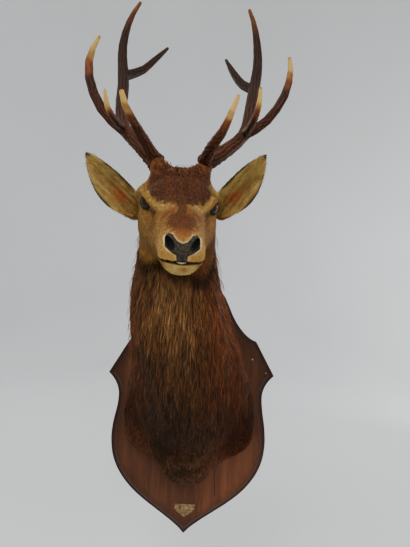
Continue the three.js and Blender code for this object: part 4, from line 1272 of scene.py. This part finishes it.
def make_eye(side):
    """A glass eye with a level, oblong pupil painted by its own shape."""
    gaze = head_direction(*(np.array(EYE_GAZE) * (SIDES[side], 1, 1)))
    along = head_direction(*EYE_LENGTHWISE)
    along = unit(along - gaze * (along @ gaze))
    upright = np.cross(gaze, along)
    mesh = bpy.data.meshes.new(f"glass_eye_{side}")
    with edited(mesh) as edit:
        bmesh.ops.create_icosphere(edit, subdivisions=5, radius=1.0)
    ray = unit(coords(mesh))
    forward = ray @ gaze
    cornea = EYE["cornea"] * ease(PUPIL["iris"], 1.0, forward)
    radius = (EYE["radius"] + cornea - EYE["sunk"]) * MM
    set_coords(mesh, np.array(EYE_CENTRES[side]) + ray * radius[:, None])
    pupil = np.hypot((ray @ along) / PUPIL["long"], (ray @ upright) / PUPIL["high"])
    paint(mesh, ease(0.95, 1.1, pupil) * ease(PUPIL["iris"] - 0.1, PUPIL["iris"], forward))
    return link(f"glass_eye_{side}", mesh)


def centre_line(node, root, bins=9):
    """Centre points along a CAD tube, from its end nearer the root to its tip."""
    points = coords(NODES[node].data)
    middle, axes = long_axes(points)
    reach = (points - middle) @ axes[0]
    edges = np.linspace(reach.min() - 1e-6, reach.max() + 1e-6, bins + 1)
    slices = [points[(reach >= low) & (reach < high)] for low, high in zip(edges[:-1], edges[1:])]
    line = np.array([found.mean(axis=0) for found in slices if len(found) > 3])
    flipped = np.linalg.norm(line[-1] - root) < np.linalg.norm(line[0] - root)
    return line[::-1] if flipped else line


ANTLER_PARTS = ("beam_lower", "beam_upper", "crown_front", "brow_tine", "bez_tine", "trez_tine",
                "crown_back")
# Heights in millimetres: what the smoothing took, the pearls, the grooves and the knots of the burr.
RELIEF = {"fill": 1.2, "pearl": 1.6, "groove": 0.75, "knot": 1.5}
PEARLED = 0.14  # metres from the burr: how far up the pearls are dense
ANTLER_DARK = colour(46, 31, 25)
ANTLER_LOW = colour(64, 38, 25)
ANTLER_RIDGE = colour(108, 62, 38)
GROOVE = colour(18, 10, 7)
IVORY = colour(208, 166, 90)
# The tips: where along the part they pale, their colour, how strongly it shows, and the blush below.
ANTLER_TIPS = {
    "brow_tine": (0.70, IVORY, 1.0, 0.4),
    "bez_tine": (0.62, IVORY, 1.0, 0.4),
    "trez_tine": (0.68, colour(184, 148, 80), 0.95, 0.45),
    "crown_front": (0.72, colour(118, 74, 40), 0.75, 0.15),
    "crown_back": (0.80, colour(62, 52, 48), 0.5, 0.0),
}


class AntlerPlaces:
    """For each point of an antler: its part, its share of the way along, and the way round."""

    def __init__(self, side, points):
        root = np.array(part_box(f"antler_{side}_burr")[0])
        self.radius = np.full(len(points), 1e9)
        self.around, self.share = np.zeros((2, len(points)))
        self.part = np.zeros(len(points), int)
        for number, part in enumerate(ANTLER_PARTS):
            line = centre_line(f"antler_{side}_{part}", root)
            for step, (start, end) in enumerate(zip(line[:-1], line[1:])):
                away, share = from_segment(points, start, end)
                self.take_nearer(away, end - start, number, (step + share) / (len(line) - 1))

    def take_nearer(self, away, along, number, share):
        """Keeps these places where this stretch of the antler is the nearest so far."""
        distance = np.linalg.norm(away, axis=1)
        first = unit(np.cross(along, (0.0, 1.0, 0.3)))
        second = np.cross(unit(along), first)
        closer = distance < self.radius
        self.radius = np.where(closer, distance, self.radius)
        self.around = np.where(closer, np.arctan2(away @ second, away @ first), self.around)
        self.share = np.where(closer, share, self.share)
        self.part = np.where(closer, number, self.part)


def make_antler(side):
    """One antler: its solids joined, rounded, then grooved, pearled and coloured along each length."""
    names = [f"antler_{side}_{part}" for part in ("burr", *ANTLER_PARTS)]
    antler = remeshed(joined_solids(f"antler_{side}", names, 0.5), ANTLER_VOXEL)
    mesh = antler.data
    smoothed(mesh, SMOOTHING["antler"])
    points = coords(mesh)
    places = AntlerPlaces(side, points)
    from_burr = np.linalg.norm(points - np.mean(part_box(names[0]), axis=0), axis=1)
    worn = np.zeros(len(points))
    for part, (start, _, _, _) in ANTLER_TIPS.items():
        mine = places.part == ANTLER_PARTS.index(part)
        worn = np.where(mine, ease(start - 0.05, start + 0.25, places.share), worn)
    ridges = np.round(np.clip(places.radius / MM * 0.95, 4, 12))
    wander = 3.5 * waves(points, 0.06, 71) + 1.5 * waves(points, 0.02, 72)
    groove = np.cos(places.around * ridges + wander)
    pearls = ease(0.3, 0.85, waves(points, 0.0075, 73)) * bell(from_burr, PEARLED)
    relief = RELIEF["pearl"] * pearls - RELIEF["groove"] * ease(0.2, -0.9, groove)
    height = RELIEF["fill"] + relief * (1 - worn)
    height += ease(0.034, 0.022, from_burr) * RELIEF["knot"] * waves(points, 0.009, 74)
    set_coords(mesh, points + normals(mesh) * (height * MM)[:, None])
    paint(mesh, antler_tones(points, places, groove, pearls, worn))
    mesh.shade_smooth()
    return antler, names


def antler_tones(points, places, groove, pearls, worn):
    """Red-brown below and darker above, with dark grooves, lighter ridges and worn pale tips."""
    lower = ease(0.88, 0.62, points[:, 2])
    ridge = ease(0.25, 0.95, groove) * (0.35 + 0.65 * ease(-0.5, 0.6, waves(points, 0.03, 77)))
    tone = layered(
        ANTLER_DARK,
        (ANTLER_LOW, lower + 0.2 * waves(points, 0.03, 75)),
        (ANTLER_RIDGE, np.maximum(ridge * (0.2 + 0.45 * lower), 0.6 * pearls)),
        (GROOVE, ease(-0.1, -0.9, groove) * 0.65 * (1 - worn)),
    )
    for part, (start, tip, strength, blush) in ANTLER_TIPS.items():
        mine = places.part == ANTLER_PARTS.index(part)
        rise = (places.share - start + 0.05 * waves(points, 0.02, 76)) * mine
        tone = layered(
            tone,
            (colour(150, 84, 44), bell(rise - 0.05, 0.08) * mine * blush),
            (tip, ease(0.04, 0.22, rise) * strength * mine),
            (colour(120, 84, 50), ease(0.985, 1.0, places.share) * mine * 0.6),
        )
    return tone


# ---- board


def board_outline():
    """The shield's outline where it is widest, from the CAD board: [x, z] in order round it."""
    mesh = NODES["board"].data.copy()
    merge_near(mesh)
    # The widest ring lies at the foot of the moulding and again at the back: two depths, one place.
    depths = {}
    for x, y, z in coords(mesh).tolist():
        depths.setdefault((round(x, 4), round(z, 4)), []).append(y)
    bpy.data.meshes.remove(mesh)
    outer = [place for place, found in depths.items() if max(found) - min(found) > 0.008]
    # The hanger's rebate cuts the top edge: its corners there give way to the board's top point.
    outer = [(x, z) for x, z in outer if abs(x) > 0.0125 or z < 0.3]
    points = np.array(outer + [(0.0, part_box("board")[1].z)])
    return points[np.argsort(np.arctan2(points[:, 0], points[:, 1]))]


def make_board():
    """The shield with its moulded edge: depths set by the distance from the outline, then rebated."""
    outline = refined_outline(board_outline())
    count = len(outline)
    front, faces, at = filled(moulding_places(outline), count)
    depth = np.interp(outline_distance(front, outline) / MM, *zip(*MOULDING)) * MM
    back, back_faces, back_at = filled(outline, count)
    start = len(front)
    for k in range(count):
        j = (k + 1) % count
        faces.append((at[k], at[j], start + back_at[j], start + back_at[k]))
    faces += [tuple(start + i for i in face) for face in back_faces]
    flat = np.vstack([front, back])
    depth = np.append(depth, np.zeros(len(back)))
    board = mesh_object("shield_board", np.column_stack([flat[:, 0], -depth, flat[:, 1]]), faces)
    with edited(board.data) as edit:
        bmesh.ops.recalc_face_normals(edit, faces=edit.faces)
    cut_rebate(board)
    paint_edge(board.data, outline)
    board.data.set_sharp_from_angle(angle=math.radians(28))
    return board


def moulding_places(outline):
    """Places on the front face: the outline, rings that follow it in, and a coarse grid within."""
    inward = outline_inward(outline)
    kept = [outline]
    for inset, _ in MOULDING[1:]:
        ring = outline + inward * inset * MM
        kept.append(ring[outline_distance(ring, outline) > (inset - 0.3) * MM])
    reach = zip(outline.min(axis=0), outline.max(axis=0))
    across, upward = np.meshgrid(*(np.arange(low, high, GRID) for low, high in reach))
    grid = np.column_stack([across.ravel(), upward.ravel()])
    kept.append(grid[(outline_distance(grid, outline) > GRID_CLEAR) & is_within(grid, outline)])
    return np.vstack(kept)


def filled(places, count):
    """Triangles over the places, bounded by the first of them, and where each place went."""
    flat = [Vector(place) for place in places]
    found, _, faces, sources, _, _ = delaunay_2d_cdt(flat, [], [list(range(count))], 1, 1e-6)
    went_to = {source: i for i, group in enumerate(sources) for source in group}
    return np.array(found), [tuple(face) for face in faces], went_to


def cut_rebate(board):
    """The shallow recess in the back that holds the hanger's strap."""
    half, deep, bottom = (REBATE[key] * MM for key in ("half", "deep", "bottom"))
    mesh = bpy.data.meshes.new("rebate")
    with edited(mesh) as edit:
        bmesh.ops.create_cube(edit, size=1.0)
        for vertex in edit.verts:
            x, y, z = vertex.co
            vertex.co = (x * 2 * half, 0.01 if y > 0 else -deep, bottom + 0.1 if z > 0 else bottom)
    combine(board, "DIFFERENCE", link("rebate", mesh), "EXACT")


def paint_edge(mesh, outline):
    """How dark the edge is: deepest at the rim and at the moulding's inner step, none within."""
    points = coords(mesh)
    shade = np.interp(outline_distance(points[:, (0, 2)], outline) / MM, *zip(*EDGE_DARKNESS))
    paint(mesh, np.where(points[:, 1] > -0.009, SIDE_DARKNESS, shade), "Edge")


def outline_directions(points):
    """The direction of the outline before and after each of its points."""
    before = unit(points - np.roll(points, 1, axis=0))
    return before, unit(np.roll(points, -1, axis=0) - points)


def refined_outline(points, spacing=0.006):
    """The outline with more points on its curves, by Catmull-Rom splines, and its corners kept."""
    before, after = outline_directions(points)
    corner = np.sum(before * after, axis=1) < math.cos(math.radians(24))
    count = len(points)
    made = []
    for i in range(count):
        p0, p1, p2, p3 = (points[(i + k) % count] for k in (-1, 0, 1, 2))
        if corner[i]:
            p0 = 2 * p1 - p2
        if corner[(i + 1) % count]:
            p3 = 2 * p2 - p1
        steps = max(1, round(np.linalg.norm(p2 - p1) / spacing))
        for t in np.arange(steps) / steps:
            a = -t**3 + 2 * t**2 - t
            b = 3 * t**3 - 5 * t**2 + 2
            c = -3 * t**3 + 4 * t**2 + t
            d = t**3 - t**2
            made.append((a * p0 + b * p1 + c * p2 + d * p3) / 2)
    return np.array(made)


def outline_inward(points):
    """At each point, where to go for one unit of inset, mitred at the corners."""
    turn = np.array(((0, 1), (-1, 0)))
    first, second = (direction @ turn for direction in outline_directions(points))
    middle = unit(first + second)
    reach = 1 / np.maximum(np.sum(middle * first, axis=1), 0.5)
    inward = middle * reach[:, None]
    return -inward if np.sum(inward * points) > 0 else inward


# ---- stage, camera and lights

STAGE = {"floor": -0.62, "radius": 4.2, "bend": 1.2, "height": 5.0, "turns": 72}
WHITE = (1.0, 1.0, 1.0)
# Each lamp: its place, size, power, tint and what it points at.
LAMPS = {
    "key": ((-0.9, -1.9, 2.1), 1.3, 44, (1.0, 0.98, 0.95), (0.0, -0.35, 0.5)),
    "fill": ((1.7, -2.1, 1.3), 1.8, 22, (1.0, 0.99, 0.97), (0.0, -0.3, 0.45)),
    "glint": ((0.3, -2.3, 1.5), 0.2, 8.0, (1.0, 0.98, 0.94), (0.0, -0.35, 0.45)),
    "back_left": ((-1.9, 2.3, 1.8), 1.6, 30, WHITE, (0, -0.15, 0.3)),
    "back_right": ((2.1, 2.0, 1.4), 1.6, 34, WHITE, (0, -0.15, 0.3)),
    "wall": ((2.2, 1.2, 0.6), 1.4, 38, WHITE, (3.2, 3.4, 0.7)),
}
CAMERA = {"place": (0.0235, -1.204, 0.378), "roll": 3.0, "lens": 27.7, "sensor": 36.0}


def make_stage():
    """A pale floor that turns up into a distant round wall, open at the top."""
    floor, radius, bend, height, turns = STAGE.values()
    profile = [(0.0, floor)]
    profile += [(radius - bend + bend * math.sin(a), floor + bend - bend * math.cos(a))
                for a in np.linspace(0, math.pi / 2, 10)]
    profile.append((radius, floor + height))
    rows = len(profile)
    vertices, faces = [], []
    for k in range(turns):
        angle = 2 * math.pi * k / turns
        vertices += [(r * math.sin(angle), r * math.cos(angle), z) for r, z in profile]
        for i in range(rows - 1):
            a, b = k * rows + i, ((k + 1) % turns) * rows + i
            faces.append((a, b, b + 1, a + 1))
    stage = mesh_object("stage", vertices, faces)
    dress(stage, paper_material("stage_paper", colour(219, 221, 223)))


def make_lights():
    for name, (place, size, power, tint, aim) in LAMPS.items():
        light = bpy.data.lights.new(name, "AREA")
        light.shape, light.size, light.energy, light.color = "DISK", size, power, tint
        lamp = bpy.data.objects.new(name, light)
        lamp.location = place
        lamp.rotation_euler = (Vector(aim) - Vector(place)).to_track_quat("-Z", "Y").to_euler()
        bpy.context.scene.collection.objects.link(lamp)
    world = bpy.data.worlds.new("studio")
    world.use_nodes = True
    background = world.node_tree.nodes["Background"].inputs
    background["Color"].default_value = (1.0, 0.985, 0.96, 1)
    background["Strength"].default_value = 0.8
    bpy.context.scene.world = world


def make_camera():
    """The photograph's view: 1.2 m in front of the board's back, and rolled."""
    roll = math.radians(CAMERA["roll"])
    right = Vector((math.cos(roll), 0, math.sin(roll)))
    up = Vector((-math.sin(roll), 0, math.cos(roll)))
    axes = Matrix((right, up, (0, -1, 0))).transposed().to_4x4()
    data = bpy.data.cameras.new("camera")
    data.lens, data.sensor_width = CAMERA["lens"], CAMERA["sensor"]
    camera = bpy.data.objects.new("camera", data)
    camera.matrix_world = Matrix.Translation(CAMERA["place"]) @ axes
    bpy.context.scene.collection.objects.link(camera)
    bpy.context.scene.camera = camera


# ---- everything together


def place(piece, material, slot, *replaced):
    """Dresses a piece, says what it rides on, and hides the CAD nodes that it replaces; the slot is not
    used.
    """
    dress(piece, material)
    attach(piece, "root")
    if replaced:
        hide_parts(*replaced)


def make_deer():
    hair = hair_material()
    skin = make_skin()
    paint(skin.data, coat_colour(coords(skin.data), normals(skin.data)))
    nose = make_nose(skin)
    place(skin, skin_material(), "face_coat", *FLESH, "ear_left", "ear_right")
    place(nose, leather_material(), "nose_leather", "nose_leather")
    for grow, slot in ((grow_mane, "mane"), (grow_face, "face_coat"), (grow_ears, "ear_coat")):
        for piece in grow(skin):
            place(piece, hair, slot)
    glass, bone = eye_material(), antler_material()
    for side in SIDES:
        place(make_eye(side), glass, "eye_glass", f"eye_{side}")
    for side in SIDES:
        antler, names = make_antler(side)
        place(antler, bone, "antler", *names)
    dress(NODES["incisors"], tooth_material())


def make_mount():
    place(make_board(), wood_material(), "board_wood", "board")
    brass, iron = brass_material(), iron_material()
    for node in ("label_plate", "label_pin_left", "label_pin_right"):
        dress(NODES[node], brass)
    for node in ("hanger_strap", "hanger_screw_1", "hanger_screw_2"):
        dress(NODES[node], iron)


make_camera()
make_lights()
make_stage()
make_mount()
make_deer()
